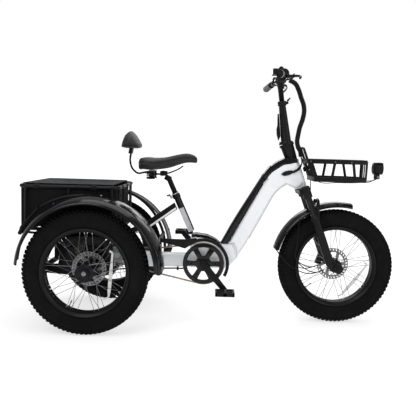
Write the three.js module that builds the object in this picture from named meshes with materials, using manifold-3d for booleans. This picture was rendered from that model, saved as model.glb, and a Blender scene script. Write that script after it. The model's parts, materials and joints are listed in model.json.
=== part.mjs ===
// Adult electric tricycle: step-through frame, folding stem, suspension fork, rear cargo basket.
// Millimetres. Inside the group named bike, X runs forward from the rear axle, Y to the rider's
// left and Z up from the ground. The exported group shifts that to the middle of the footprint.
import * as THREE from 'three';
import { mergeVertices } from 'three/addons/utils/BufferGeometryUtils.js';
import Module from 'manifold-3d';

const wasm = await Module();
wasm.setup();

// ---- driving dimensions -------------------------------------------------------------------
const FOOTPRINT_CENTRE_X = 586;
const GAP = 0.3;
const WHEEL_R = 295;
const WHEELBASE = 1226;
const HALF_TRACK = 335;
const TYRE_HALF_WIDTH = 50;
const BEAD_R = 204;
const SPOKE_COUNT = 16;
const WHEEL_SIDES = 28;
const HALF_SHAFT_R = 12;
const ROTOR_R = 83;
const HUB_BOSS_R = 21;
const REAR_ROTOR_Y = 264;
const FRONT_ROTOR_Y = 47;

const HEAD = { x: 1034, z: 695, lean: 20.55, length: 142, r: 33 };
const STEM = { x: 950, z: 919, lean: 8.4, postLength: 205, riserTop: 290 };
const FORK = {
  legY: 85, legX: 10, stanchionR: 16, lowerR: 21.5, sealZ: -158, axleX: 39.3, axleZ: -441.8,
};
const CRANK = { x: 543, z: 300, length: 170, angle: -49, y: 104 };
const CHAINLINE_Y = -80;
const CHAINRING_R = 100.5;
const JACKSHAFT = { x: -118, z: 372, r: 10 };
const CASSETTE_R = 30;
const BASKET = { rear: -340, front: 130, halfWidth: 243, top: 682, bottom: 478, tube: 18 };
const HOOP_Y = 262;
const SEAT_LEAN = 24.5;
const SEAT_FOOT = { x: 484, z: 437 };
const SEAT_TUBE_LENGTH = 222;
const CARRIER_Y = 215;

const degrees = (angle) => angle * Math.PI / 180;
const vec = (x, y, z) => new THREE.Vector3(x, y, z);

// ---- materials ----------------------------------------------------------------------------
const finish = (color, roughness, metalness = 0) => () =>
  new THREE.MeshStandardMaterial({ color, roughness, metalness });
const whitePaint = finish('#eef0f3', 0.25);
const blackPaint = finish('#1b1c1e', 0.35);
const blackPlastic = finish('#202123', 0.6);
const greyPlastic = finish('#77797d', 0.6);
const tyreRubber = finish('#262729', 0.85);
const softCover = finish('#2a2b2d', 0.7);
const bagFabric = finish('#18191a', 0.9);
const lidFabric = finish('#44474b', 0.9);
const steel = finish('#b9bcc0', 0.3, 0.9);
const darkAlloy = finish('#2e3033', 0.4, 0.6);

// ---- solids -------------------------------------------------------------------------------
function closedSolid(geometry) {
  const source = geometry.clone();
  source.deleteAttribute('normal');
  source.deleteAttribute('uv');
  const merged = mergeVertices(source, 1e-3);
  const corners = merged.getAttribute('position').array;
  const faces = Array.from(merged.index.array);
  const kept = [];
  let volume = 0;
  const point = (i) => vec(corners[3 * i], corners[3 * i + 1], corners[3 * i + 2]);
  for (let i = 0; i < faces.length; i += 3) {
    const [a, b, c] = faces.slice(i, i + 3);
    if (a === b || b === c || a === c) continue;
    kept.push(a, b, c);
    volume += point(a).dot(point(b).cross(point(c)));
  }
  const triVerts = new Uint32Array(volume < 0 ? kept.reverse() : kept);
  const vertProperties = new Float32Array(corners);
  return new wasm.Manifold(new wasm.Mesh({ numProp: 3, vertProperties, triVerts }));
}

function surfaceOf(solid) {
  const mesh = solid.getMesh();
  const geometry = new THREE.BufferGeometry();
  geometry.setAttribute('position', new THREE.BufferAttribute(new Float32Array(mesh.vertProperties), 3));
  geometry.setIndex(Array.from(mesh.triVerts));
  geometry.computeVertexNormals();
  return geometry;
}

const asSolid = (shape) => (shape instanceof THREE.BufferGeometry ? closedSolid(shape) : shape);
const join = (...shapes) => shapes.map(asSolid).reduce((whole, next) => whole.add(next));
const cut = (shape, ...tools) => tools.reduce((rest, tool) => rest.subtract(asSolid(tool)), asSolid(shape));
const common = (first, second) => asSolid(first).intersect(asSolid(second));

function part(parent, name, material, shape) {
  const mesh = new THREE.Mesh(surfaceOf(asSolid(shape)), material());
  mesh.name = name;
  parent.add(mesh);
}

// ---- shapes -------------------------------------------------------------------------------
function box(low, high) {
  const size = high.clone().sub(low);
  const middle = low.clone().add(high).multiplyScalar(0.5);
  return new THREE.BoxGeometry(size.x, size.y, size.z).translate(middle.x, middle.y, middle.z);
}

// A round bar between two points, with an optional second radius at its far end.
function rod(from, to, r, sides = 8, farR = r) {
  const along = to.clone().sub(from);
  const bar = new THREE.CylinderGeometry(farR, r, along.length(), sides);
  bar.translate(0, along.length() / 2, 0);
  bar.applyQuaternion(new THREE.Quaternion().setFromUnitVectors(vec(0, 1, 0), along.normalize()));
  return bar.translate(from.x, from.y, from.z);
}

const crossRod = (x, z, lowY, highY, r, sides = 8) => rod(vec(x, lowY, z), vec(x, highY, z), r, sides);

// A tube of round section that follows a smooth curve through the points.
function bentTube(points, r, steps, sides = 8) {
  const section = new THREE.Shape(new THREE.EllipseCurve(0, 0, r, r).getPoints(sides).slice(0, sides));
  const path = new THREE.CatmullRomCurve3(points);
  return new THREE.ExtrudeGeometry(section, { steps, extrudePath: path, bevelEnabled: false });
}

// A straight-cornered run of bars through the points.
function tubeRun(points, r, sides = 6) {
  return join(...points.slice(1).map((point, i) => rod(points[i], point, r, sides)));
}

// Outline points in anticlockwise order, which ExtrudeGeometry needs when there are holes.
function flatPoints(outline) {
  const points = outline.map(([x, y]) => new THREE.Vector2(x, y));
  return THREE.ShapeUtils.isClockWise(points) ? points.reverse() : points;
}

// A plate with its outline in the XZ plane, from lowY to highY, with optional chamfered edges.
function plate(outline, lowY, highY, bevel = 0, holes = []) {
  const shape = outline instanceof THREE.Shape ? outline : new THREE.Shape(flatPoints(outline));
  shape.holes.push(...holes);
  const depth = highY - lowY - 2 * bevel;
  const bevelled = { bevelEnabled: bevel > 0, bevelSize: bevel, bevelOffset: -bevel };
  const body = new THREE.ExtrudeGeometry(shape, {
    depth, ...bevelled, bevelThickness: bevel, bevelSegments: 1, curveSegments: 8,
  });
  return body.rotateX(Math.PI / 2).translate(0, highY - bevel, 0);
}

// A block with its outline in the XY plane, from lowZ to highZ.
function slab(outline, lowZ, highZ) {
  const shape = new THREE.Shape(flatPoints(outline));
  return new THREE.ExtrudeGeometry(shape, { depth: highZ - lowZ, bevelEnabled: false })
    .translate(0, 0, lowZ);
}

// A body turned about the Y axis from a closed profile of [radius, y] points.
function turned(profile, sides = WHEEL_SIDES) {
  const points = [...profile, profile[0]].map(([r, y]) => new THREE.Vector2(r, y));
  return new THREE.LatheGeometry(points, sides, Math.PI / sides);
}

const ring = (inner, outer, lowY, highY, sides = 24) =>
  turned([[inner, lowY], [outer, lowY], [outer, highY], [inner, highY]], sides);

const disc = (r, lowY, highY, sides = 24) =>
  crossRod(0, 0, lowY, highY, r, sides);

function arcPoints(x, z, r, fromAngle, toAngle, steps) {
  return Array.from({ length: steps + 1 }, (_, i) => {
    const angle = degrees(fromAngle + (toAngle - fromAngle) * i / steps);
    return [x + r * Math.cos(angle), z + r * Math.sin(angle)];
  });
}

function groupAt(parent, x, y, z, lean = 0) {
  const group = new THREE.Group();
  group.position.set(x, y, z);
  group.rotation.y = -degrees(lean);
  parent.add(group);
  return group;
}

const bike = new THREE.Group();
bike.position.x = -FOOTPRINT_CENTRE_X;

// ---- wheels -------------------------------------------------------------------------------
const polygonRadius = WHEEL_R / Math.cos(Math.PI / WHEEL_SIDES);

function tyre() {
  const outside = [[polygonRadius, 26], [279, 44], [252, TYRE_HALF_WIDTH], [BEAD_R, 34.5]];
  const inside = [[BEAD_R, 29], [252, 43], [288, 22]];
  const half = [...outside, ...inside];
  return turned([...half, ...half.map(([r, y]) => [r, -y]).reverse()]);
}

function lacedWheel(hubR, flangeR, hubHalfWidth, spokeR) {
  const rim = turned([[192, 30], [209, 37.5], [209, 40], [188, 32],
    [188, -32], [209, -40], [209, -37.5], [192, -30]]);
  const hub = join(
    disc(hubR, -hubHalfWidth, hubHalfWidth, 12),
    disc(flangeR, hubHalfWidth - 9, hubHalfWidth - 4, 12),
    disc(flangeR, 4 - hubHalfWidth, 9 - hubHalfWidth, 12),
  );
  const spokes = Array.from({ length: SPOKE_COUNT }, (_, i) => {
    const angle = degrees(360 * (i + 0.5) / SPOKE_COUNT);
    const side = i % 2 ? 1 : -1;
    const flangeY = side * (hubHalfWidth - 6.5);
    const foot = vec((flangeR - 3) * Math.sin(angle), flangeY, (flangeR - 3) * Math.cos(angle));
    return rod(foot, vec(190 * Math.sin(angle), side * 6, 190 * Math.cos(angle)), spokeR, 3);
  });
  return join(rim, hub, ...spokes);
}

function brakeRotor() {
  const outline = new THREE.Shape().absarc(0, 0, ROTOR_R, 0, 2 * Math.PI);
  const windows = [];
  for (let i = 0; i < 6; i += 1) {
    const start = 60 * i + 12;
    const corners = [...arcPoints(0, 0, ROTOR_R - 18, start, start + 38, 2),
      ...arcPoints(0, 0, 32, start + 32, start + 4, 1)];
    windows.push(new THREE.Path(corners.map(([x, z]) => new THREE.Vector2(x, z))));
  }
  windows.push(new THREE.Path().absarc(0, 0, HUB_BOSS_R + 0.8, 0, 2 * Math.PI));
  return plate(outline, -1, 1, 0, windows);
}

function rearWheel(side, name) {
  const wheel = groupAt(bike, 0, side * HALF_TRACK, WHEEL_R);
  const shaft = disc(HALF_SHAFT_R, Math.min(-side * 310, 0), Math.max(-side * 310, 0), 12);
  const boss = disc(HUB_BOSS_R, Math.min(-side * 75, 0), Math.max(-side * 75, 0), 12);
  part(wheel, `${name}_tyre`, tyreRubber, tyre());
  part(wheel, `${name}_wheel`, blackPaint, join(lacedWheel(26, 44, 42, 1.6), shaft, boss));
  const rotor = groupAt(bike, 0, side * REAR_ROTOR_Y, WHEEL_R);
  part(rotor, `${name}_rotor`, steel, brakeRotor());
}

rearWheel(-1, 'right');
rearWheel(1, 'left');

const frontWheel = groupAt(bike, WHEELBASE, 0, WHEEL_R);
part(frontWheel, 'front_tyre', tyreRubber, tyre());
part(frontWheel, 'front_wheel', blackPaint, join(lacedWheel(17, 34, 36, 1.6),
  disc(6, -104, 104, 10), disc(HUB_BOSS_R, 20, 50, 12)));
part(groupAt(bike, WHEELBASE, FRONT_ROTOR_Y, WHEEL_R), 'front_rotor', steel, brakeRotor());

// ---- main frame ---------------------------------------------------------------------------
const headDirection = vec(-Math.sin(degrees(HEAD.lean)), 0, Math.cos(degrees(HEAD.lean)));
const onHeadAxis = (t) => vec(HEAD.x, 0, HEAD.z).addScaledVector(headDirection, t);
const spineOutside = [[628, 398], [670, 479], [724, 573], [831, 751]];
const paintLine = [[667, 397], [727, 511], [838, 715], [853, 735]];
const headOutside = [[838, 763], [865, 799], [905, 826], [948, 848], [1002, 842]];
const undersideLine = [[1050, 735], [1030, 697], [1002, 691], [957, 710], [928, 691], [905, 667],
  [889, 643], [780, 433], [733, 356], [713, 320]];

const downTubeOutline = [...paintLine, ...headOutside, ...undersideLine, [705, 370], [690, 397]];
const steererBore = rod(onHeadAxis(-30), onHeadAxis(HEAD.length + 30), 20, 16);
const headShell = rod(onHeadAxis(2), onHeadAxis(HEAD.length), HEAD.r, 16);
const headFaceTrim = box(vec(-80, -80, 0), vec(80, 80, 80)).rotateY(-degrees(HEAD.lean));
const aboveHead = headFaceTrim.clone().translate(...onHeadAxis(HEAD.length));
const belowHead = headFaceTrim.clone().translate(...onHeadAxis(2 - 80));
const batteryOutline = [[735, 460], [845, 690], [868, 678], [758, 448]];
const batteryBay = [[655, 403], [712, 510], [826, 718], [884, 688], [772, 416], [740, 392], [700, 403]];

part(bike, 'down_tube', whitePaint, cut(
  join(plate(downTubeOutline, -39, 39, 12), headShell),
  plate(batteryBay, -30, 30), steererBore, aboveHead, belowHead,
));
part(bike, 'battery_cover', blackPaint, plate(
  [...spineOutside, [852, 736], [837, 716], [726, 512], [666, 398]], -37, 37, 8));
part(bike, 'battery_pack', blackPlastic, plate(batteryOutline, -28, 28, 4));

const bottomBracketBore = crossRod(CRANK.x, CRANK.z, -60, 60, 14, 16);
const lowSection = [[500, 443], [560, 436], [604, 416], [626, 396], [688, 394], [704, 368], [712, 318],
  [684, 287], [655, 268], [480, 268], [470, 330], [474, 426]];
const boomOutline = [[490, 336], [289, 338], [150, 352], [96, 376], [72, 370], [66, 330], [78, 258],
  [297, 267], [490, 270]];
const LOWER_CROSS_TUBE = { x: 95, z: 262, r: 12 };
const UPPER_CROSS_TUBE = { x: 80, z: 418, r: 14 };
part(bike, 'lower_frame', whitePaint, cut(
  join(plate(lowSection, -34, 34, 8), plate(boomOutline, -27, 27, 6)), bottomBracketBore,
  crossRod(LOWER_CROSS_TUBE.x, LOWER_CROSS_TUBE.z, -60, 60, LOWER_CROSS_TUBE.r + 0.6)));

// ---- seat tube, stay and seat -------------------------------------------------------------
const seatGroup = groupAt(bike, SEAT_FOOT.x, 0, SEAT_FOOT.z, SEAT_LEAN);
part(seatGroup, 'seat_tube', whitePaint, cut(
  join(rod(vec(0, 0, 19), vec(0, 0, SEAT_TUBE_LENGTH), 16, 14),
    rod(vec(0, 0, SEAT_TUBE_LENGTH - 14), vec(0, 0, SEAT_TUBE_LENGTH + 10), 20, 14),
    rod(vec(-16, 0, SEAT_TUBE_LENGTH), vec(-33, 0, SEAT_TUBE_LENGTH), 8, 8)),
  rod(vec(0, 0, 24), vec(0, 0, SEAT_TUBE_LENGTH + 40), 14.2, 14)));

const stayOutline = [[384, 600], [400, 566], [248, 458], [110, 402], [90, 428], [229, 490]];
part(bike, 'upper_stay', blackPaint, cut(plate(stayOutline, -20, 20, 6),
  rod(vec(SEAT_FOOT.x, 0, SEAT_FOOT.z), vec(SEAT_FOOT.x - 120, 0, SEAT_FOOT.z + 263.3), 16.6, 14),
  crossRod(UPPER_CROSS_TUBE.x, UPPER_CROSS_TUBE.z, -60, 60, UPPER_CROSS_TUBE.r + 0.6)));

part(seatGroup, 'seat_lever', darkAlloy, join(
  rod(vec(-33, 0, SEAT_TUBE_LENGTH + GAP + 8), vec(-33, 0, SEAT_TUBE_LENGTH + 18), 6, 8),
  rod(vec(-33, 0, SEAT_TUBE_LENGTH + 13), vec(-38, -52, SEAT_TUBE_LENGTH + 17), 5, 6, 4)));

part(seatGroup, 'seatpost', blackPaint, join(
  rod(vec(0, 0, 110), vec(0, 0, 320), 13.6, 14),
  rod(vec(0, 0, 314), vec(-14, 0, 332), 15, 10)));

const saddleSide = [[201, 774], [203, 800], [209, 826], [240, 833], [283, 828], [338, 834], [390, 850],
  [448, 853], [482, 842], [499, 815], [492, 800], [440, 793], [390, 782], [344, 765], [290, 762],
  [230, 762]];
const saddlePlan = [[200, 0], [204, 70], [222, 108], [260, 118], [300, 104], [345, 66], [400, 42],
  [470, 32], [495, 20], [500, 0]];
const mirroredPlan = (half) => [...half, ...half.slice(1, -1).reverse().map(([x, y]) => [x, -y])];
part(bike, 'saddle', softCover, common(plate(saddleSide, -130, 130),
  slab(mirroredPlan(saddlePlan).reverse(), 700, 900)));

const railPath = (y) => tubeRun([vec(232, y, 755), vec(300, y, 745), vec(372, y * 0.5, 760),
  vec(420, y * 0.2, 781)], 4, 5);
const coil = (y) => rod(vec(266, y, 724), vec(262, y, 761.4), 24, 8);
const onSeatAxis = (t) => vec(SEAT_FOOT.x, 0, SEAT_FOOT.z).addScaledVector(
  vec(-Math.sin(degrees(SEAT_LEAN)), 0, Math.cos(degrees(SEAT_LEAN))), t);
part(bike, 'saddle_rails', blackPaint, cut(join(
  railPath(-28), railPath(28), coil(-58), coil(58),
  rod(vec(270, -70, 743), vec(270, 70, 743), 7, 8),
  rod(vec(322, -36, 750), vec(322, 36, 750), 13, 10),
  bentTube([vec(272, 0, 743), vec(228, 0, 752), vec(193, 0, 747), vec(164, 0, 770), vec(152, 0, 806),
    vec(154, 0, 842), vec(164, 0, 874.5)], 5, 11, 6),
), plate(saddleSide.map(([x, z]) => [x, z - GAP]), -130, 130),
rod(onSeatAxis(250), onSeatAxis(320.4), 15.6, 12)));

const backrestSide = [[112, 876], [124, 912], [136, 946], [147, 960], [160, 958], [180, 930], [200, 900],
  [208, 882], [196, 875], [150, 877]];
const backrestFace = [[-118, 868], [-122, 900], [-104, 940], [-60, 960], [0, 966], [60, 960], [104, 940],
  [122, 900], [118, 868]];
const faceTurn = new THREE.Matrix4().makeBasis(vec(0, 1, 0), vec(0, 0, 1), vec(1, 0, 0));
const backrestFront = new THREE.ExtrudeGeometry(new THREE.Shape(flatPoints(backrestFace)),
  { depth: 300, bevelEnabled: false }).applyMatrix4(faceTurn);
part(bike, 'backrest_pad', softCover, common(plate(backrestSide, -130, 130), backrestFront));

// ---- axle carrier, drive and rear brakes --------------------------------------------------
const RACK_TOP = BASKET.bottom - 6 - 0.4;
const sidePlateOutline = [[-256, 262], [-256, 300], [-160, 306], [-146, 388], [-90, 388], [-74, 330],
  [-44, 342], [44, 342], [60, 376], [60, 440], [100, 440], [112, 300], [112, 262], [44, 248], [-44, 248]];
const sidePlates = [-CARRIER_Y, CARRIER_Y].map((y) => cut(
  plate(sidePlateOutline, y - 4, y + 4), crossRod(0, WHEEL_R, y - 20, y + 20, HALF_SHAFT_R + 1, 16)));
const uprights = [-CARRIER_Y, CARRIER_Y].flatMap((y) => [
  rod(vec(-222, y, 290), vec(-222, y, RACK_TOP), 10), rod(vec(80, y, 395), vec(80, y, RACK_TOP), 10)]);
part(bike, 'axle_carrier', blackPaint, join(
  ...sidePlates, ...uprights,
  crossRod(UPPER_CROSS_TUBE.x, UPPER_CROSS_TUBE.z, -CARRIER_Y, CARRIER_Y, UPPER_CROSS_TUBE.r),
  crossRod(LOWER_CROSS_TUBE.x, LOWER_CROSS_TUBE.z, -CARRIER_Y, CARRIER_Y, LOWER_CROSS_TUBE.r),
  crossRod(-238, 282, -CARRIER_Y, CARRIER_Y, 14),
  crossRod(-140, 282, -CARRIER_Y, CARRIER_Y, 11),
  crossRod(JACKSHAFT.x, JACKSHAFT.z, -CARRIER_Y, CARRIER_Y, JACKSHAFT.r, 12),
));

const controllerBox = box(vec(-214, -88, 318), vec(-190, 88, 438));
const driveTray = join(box(vec(-212, -204, 436), vec(60, 204, 441)),
  box(vec(-212, -204, 398), vec(60, -200, 441)), box(vec(-212, 200, 398), vec(60, 204, 441)));
part(bike, 'controller_box', darkAlloy, join(controllerBox, driveTray,
  box(vec(-218, -70, 296.4), vec(-200, 70, 320)),
  box(vec(-190, -70, 330), vec(-186, 70, 386))));

const jack = groupAt(bike, JACKSHAFT.x, 0, JACKSHAFT.z);
const jackBore = disc(JACKSHAFT.r + 1, -200, 200, 16);
part(jack, 'drive_motor', darkAlloy, cut(join(
  turned([[9, -42], [52, -42], [64, -34], [64, 34], [52, 42], [9, 42]], 24),
  ring(9, 24, 42, 58, 18)), jackBore));
const COG_COUNT = 7;
const cogOutline = Array.from({ length: COG_COUNT }, (_, i) => {
  const y = CHAINLINE_Y - 1.2 + 5.2 * i;
  const r = CASSETTE_R - 2 + 3 * i;
  return [[r, y], [r, y + 5.2]];
}).flat();
part(jack, 'cassette', steel, turned([[JACKSHAFT.r + 1.2, CHAINLINE_Y - 1.2], ...cogOutline,
  [JACKSHAFT.r + 1.2, CHAINLINE_Y - 1.2 + 5.2 * COG_COUNT]], 14));
const axleCentre = groupAt(bike, 0, 0, WHEEL_R);
part(axleCentre, 'differential', darkAlloy, cut(join(
  turned([[9, -48], [30, -48], [46, -30], [46, 30], [30, 48], [9, 48]], 20),
  ring(9, 52, 49.5, 53, 24), ring(9, 24, 44, 60, 16)), disc(HALF_SHAFT_R + 1, -90, 90, 16)));

function caliper(parent, x, y, z, turn, name, bracketY) {
  const holder = groupAt(parent, x, y, z);
  const body = box(vec(-27, -13, -15), vec(27, 13, 15)).rotateY(degrees(turn));
  const slot = box(vec(-40, -3, -40), vec(40, 3, 10)).rotateY(degrees(turn));
  const arm = rod(vec(12, Math.sign(bracketY) * 8, 8), vec(12, bracketY, 8), 8, 8);
  part(holder, name, blackPaint, cut(join(body, arm), slot));
}
caliper(bike, -55, -REAR_ROTOR_Y, 242.6, 226.4, 'right_caliper', REAR_ROTOR_Y - CARRIER_Y - 4 - GAP);
caliper(bike, -55, REAR_ROTOR_Y, 242.6, 226.4, 'left_caliper', CARRIER_Y + 4 + GAP - REAR_ROTOR_Y);

// ---- drive chain, chainring, cranks and pedals --------------------------------------------
const chainLoop = [
  ...arcPoints(JACKSHAFT.x, JACKSHAFT.z, CASSETTE_R + 2.4, 258, 90, 7),
  [292, 370],
  ...arcPoints(CRANK.x, CRANK.z, CHAINRING_R + 4.1, 98, -102, 20),
];

function offsetLoop(points, distance) {
  return points.map((point, i) => {
    const before = points[(i + points.length - 1) % points.length];
    const after = points[(i + 1) % points.length];
    const along = new THREE.Vector2(after[0] - before[0], after[1] - before[1]).normalize();
    return [point[0] - along.y * distance, point[1] + along.x * distance];
  });
}

const chainHole = new THREE.Path(offsetLoop(chainLoop, -3.4).map(([x, z]) => new THREE.Vector2(x, z)));
part(bike, 'drive_chain', steel, plate(offsetLoop(chainLoop, 3.4), CHAINLINE_Y - 2.8, CHAINLINE_Y + 2.8, 0,
  [chainHole]));

const crank = groupAt(bike, CRANK.x, 0, CRANK.z);
const ringWindows = [];
for (let i = 0; i < 6; i += 1) {
  const start = 60 * i + 9;
  const corners = [...arcPoints(0, 0, 86, start, start + 42, 3),
    ...arcPoints(0, 0, 40, start + 34, start + 8, 1)];
  ringWindows.push(new THREE.Path(corners.map(([x, z]) => new THREE.Vector2(x, z))));
}
ringWindows.push(new THREE.Path().absarc(0, 0, 20, 0, 2 * Math.PI));
part(crank, 'chainring', blackPaint, plate(new THREE.Shape().absarc(0, 0, CHAINRING_R, 0, 2 * Math.PI),
  CHAINLINE_Y - 2, CHAINLINE_Y + 2, 0, ringWindows));

function crankArm(angle, lowY, highY) {
  const side = 78;
  const end = [CRANK.length * Math.cos(degrees(angle)), CRANK.length * Math.sin(degrees(angle))];
  return plate([...arcPoints(0, 0, 19, angle + side, angle + 360 - side, 8),
    ...arcPoints(end[0], end[1], 14, angle - side, angle + side, 6)], lowY, highY, 3);
}
part(crank, 'right_crank', blackPaint, join(crankArm(CRANK.angle, -CRANK.y - 8, -CRANK.y + 8),
  disc(17, -CRANK.y, CHAINLINE_Y + 10, 14), disc(11, -CRANK.y, CRANK.y - 8 - GAP, 14)));
part(crank, 'left_crank', blackPaint, crankArm(CRANK.angle + 180, CRANK.y - 8, CRANK.y + 8));

function pedal(side, name) {
  const angle = degrees(CRANK.angle + (side > 0 ? 180 : 0));
  const holder = groupAt(bike, CRANK.x + CRANK.length * Math.cos(angle), side * (CRANK.y + 8 + GAP),
    CRANK.z + CRANK.length * Math.sin(angle));
  const block = side > 0 ? box(vec(-48, 8, -11), vec(48, 98, 11)) : box(vec(-48, -98, -11), vec(48, -8, 11));
  const openings = [-1, 1].map((end) => (side > 0
    ? box(vec(end * 25 - 14, 20, -30), vec(end * 25 + 14, 86, 30))
    : box(vec(end * 25 - 14, -86, -30), vec(end * 25 + 14, -20, 30))));
  part(holder, name, blackPlastic, join(cut(block, ...openings),
    disc(7, Math.min(0, side * 12), Math.max(0, side * 12), 8)));
}
pedal(-1, 'right_pedal');
pedal(1, 'left_pedal');

const guardOutline = [[322, 427], [500, 432], ...arcPoints(CRANK.x, CRANK.z, 132, 105, -29, 12),
  ...arcPoints(CRANK.x, CRANK.z, 114, -29, 125, 12), [448, 374], [390, 392], [322, 406]];
part(bike, 'chain_guard', blackPlastic, join(plate(guardOutline, -94, -88),
  crossRod(486, 412, -90, -34 - GAP, 6), crossRod(628, 390, -90, -34 - GAP, 6)));

// ---- rear fenders, their frame, the basket and the cargo bag -----------------------------
const fenderCentre = { x: 10, z: 301 };
const fenderProfile = [[350, 271], [347, 305], [341, 345], [332, 380], [316, 402], [310, 402], [328, 378],
  [337, 343], [344, 303], [346.5, 271]];
const fenderKeep = [[0, -20], [-420, -4], [-420, 420], [420, 420], [420, 6]];

function rearFender(side, name) {
  const holder = groupAt(bike, fenderCentre.x, 0, fenderCentre.z);
  const shell = turned(fenderProfile.map(([r, y]) => [r, side * y]), 32);
  part(holder, name, blackPaint, common(shell, plate(fenderKeep, -420, 420)));
}
rearFender(-1, 'right_fender');
rearFender(1, 'left_fender');

const hoopPath = (y) => [[-331, 462], [-300, 515], [-240, 580], [-140, 629], [-18, 645], [105, 628],
  [205, 568], [275, 480], [308, 400], [321, 305]].map(([x, z]) => vec(x, y, z));
const hoops = [-HOOP_Y, HOOP_Y].map((y) => bentTube(hoopPath(y), 8, 14, 6));
part(bike, 'fender_frame', blackPaint, join(...hoops,
  crossRod(-331, 460, -HOOP_Y - 7, HOOP_Y + 7, 9), crossRod(308, 400, -HOOP_Y, HOOP_Y, 10),
  box(vec(298, -18, 338 + GAP + 0.5), vec(322, 18, 400)),
  box(vec(280, -88, 376.5), vec(304, -70, 404)),
  ...[-CARRIER_Y, CARRIER_Y].map((y) => rod(vec(-331, y, 458), vec(-232.6, y, 450), 6)),
));

// A level rail of square section round an outline, with its inner edge inset by the section's width.
function railRing(outline, inset, lowZ, highZ) {
  return cut(slab(outline, lowZ, highZ), slab(inset, lowZ - 10, highZ + 10));
}
const cornered = (x0, x1, y, corner) => [[x0 + corner, -y], [x1 - corner, -y], [x1, corner - y],
  [x1, y - corner], [x1 - corner, y], [x0 + corner, y], [x0, y - corner], [x0, corner - y]];
const basketRail = (tube, lowZ, highZ) => {
  const half = tube / 2;
  return railRing(
    cornered(BASKET.rear - half, BASKET.front + half, BASKET.halfWidth + half, 28),
    cornered(BASKET.rear + half, BASKET.front - half, BASKET.halfWidth - half, 20), lowZ, highZ);
};
const basketPosts = [];
for (const y of [-BASKET.halfWidth, BASKET.halfWidth]) {
  for (const x of [BASKET.rear + 30, -105, BASKET.front - 30]) basketPosts.push([x, y]);
}
for (const x of [BASKET.rear, BASKET.front]) {
  for (const y of [-BASKET.halfWidth + 40, -70, 70, BASKET.halfWidth - 40]) basketPosts.push([x, y]);
}
const basketFloor = [-222, -80, 80].map((x) => rod(vec(x, -BASKET.halfWidth, BASKET.bottom),
  vec(x, BASKET.halfWidth, BASKET.bottom), 6, 6));
part(bike, 'rear_basket', blackPaint, join(
  basketRail(BASKET.tube, BASKET.top - 9, BASKET.top + 9),
  basketRail(16, BASKET.bottom - 8, BASKET.bottom + 8),
  ...basketPosts.map(([x, y]) => rod(vec(x, y, BASKET.bottom), vec(x, y, BASKET.top), 6, 6)),
  ...basketFloor,
));

const bagOuter = slab([[-328, -232], [118, -232], [118, 232], [-328, 232]], 487, 672);
const bagInner = slab([[-324, -228], [114, -228], [114, 228], [-324, 228]], 491, 700);
part(bike, 'cargo_bag', bagFabric, cut(bagOuter, bagInner));
part(bike, 'bag_lid', lidFabric, slab([[-328, -232], [106, -232], [106, 232], [-328, 232]], 692, 698));

// ---- front basket and headlight ------------------------------------------------------------
const frontRail = (backX, tube, lowZ, highZ) => {
  const plan = (inset) => mirroredPlan([[backX + inset, 0], [backX + inset, 124 - inset],
    [1270, 124 - inset], [1360 - inset, 66 - inset], [1360 - inset, 0]]);
  return railRing(plan(0), plan(tube), lowZ, highZ);
};
const slatFeet = [[1180, 1160, 118], [1272, 1296, 104], [1352, 1352, 60]];
const slats = slatFeet.flatMap(([topX, lowX, y]) => [-1, 1].map((side) =>
  rod(vec(topX, side * y, 834), vec(lowX, side * y, 748), 7, 5)));
const floorSlats = [-60, 0, 60].map((y) => rod(vec(1092, y, 744), vec(1352, y, 744), 5, 6));
const uprightX = (z) => 1092 - (z - 740) * 0.375;
const uprightTo = (y, top) => rod(vec(uprightX(742), y, 742), vec(uprightX(top), y, top), 7, 6);
part(bike, 'front_basket', blackPaint, join(
  frontRail(1046, 12, 823, 846), frontRail(1080, 14, 734, 758), ...slats, ...floorSlats,
  ...[-112, 112].map((y) => uprightTo(y, 838)), ...[-48, 48].map((y) => uprightTo(y, 896)),
  rod(vec(uprightX(896), -48, 896), vec(uprightX(896), 48, 896), 7.5, 6),
  rod(vec(uprightX(800), -48, 800), vec(uprightX(800), 48, 800), 7, 6),
  rod(vec(1068, 0, 798), vec(1043, 0, 789), 12, 8),
  rod(vec(1345, 0, 743), vec(1421, 0, 748), 5, 6),
));
const lamp = groupAt(bike, 1421, 0, 766);
part(lamp, 'headlight', blackPlastic, join(
  plate([[-24, 14], [-24, 66], [27, 67], [27, 40], [16, 12]], -32, 32, 5),
  rod(vec(-2, 0, 16), vec(-2, 0, -8), 8, 8)));

// ---- fork ----------------------------------------------------------------------------------
const steering = groupAt(bike, HEAD.x, 0, HEAD.z, HEAD.lean);
const legs = [-FORK.legY, FORK.legY];
part(steering, 'fork_crown', blackPaint, join(
  rod(vec(0, 0, -14), vec(0, 0, HEAD.length + 60), 14, 14),
  box(vec(-24, -FORK.legY, -26), vec(26, FORK.legY, 0)),
  ...legs.map((y) => rod(vec(FORK.legX, y, -52), vec(FORK.legX, y, 2), 23, 12)),
  ...legs.map((y) => rod(vec(FORK.legX, y, -268), vec(FORK.legX, y, -20), FORK.stanchionR, 12)),
));

const archPath = [vec(FORK.legX + 12, -FORK.legY + 4, -176), vec(44, -66, -116), vec(58, -34, -92),
  vec(62, 0, -86), vec(58, 34, -92), vec(44, 66, -116), vec(FORK.legX + 12, FORK.legY - 4, -176)];
part(steering, 'fork_lowers', blackPaint, cut(
  join(
    ...legs.map((y) => rod(vec(FORK.legX, y, -412), vec(FORK.legX, y, FORK.sealZ), FORK.lowerR, 10)),
    ...legs.map((y) => plate([[-8, -396], [30, -396], ...arcPoints(FORK.axleX, FORK.axleZ, 22, 50, -150, 8),
      [-4, -425]], y - 11, y + 11, 2)),
    bentTube(archPath, 9, 8, 6)),
  ...legs.map((y) => rod(vec(FORK.legX, y, -330), vec(FORK.legX, y, -100), FORK.stanchionR + 0.6, 12)),
  crossRod(FORK.axleX, FORK.axleZ, -120, 120, 6.6, 12)));

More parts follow.
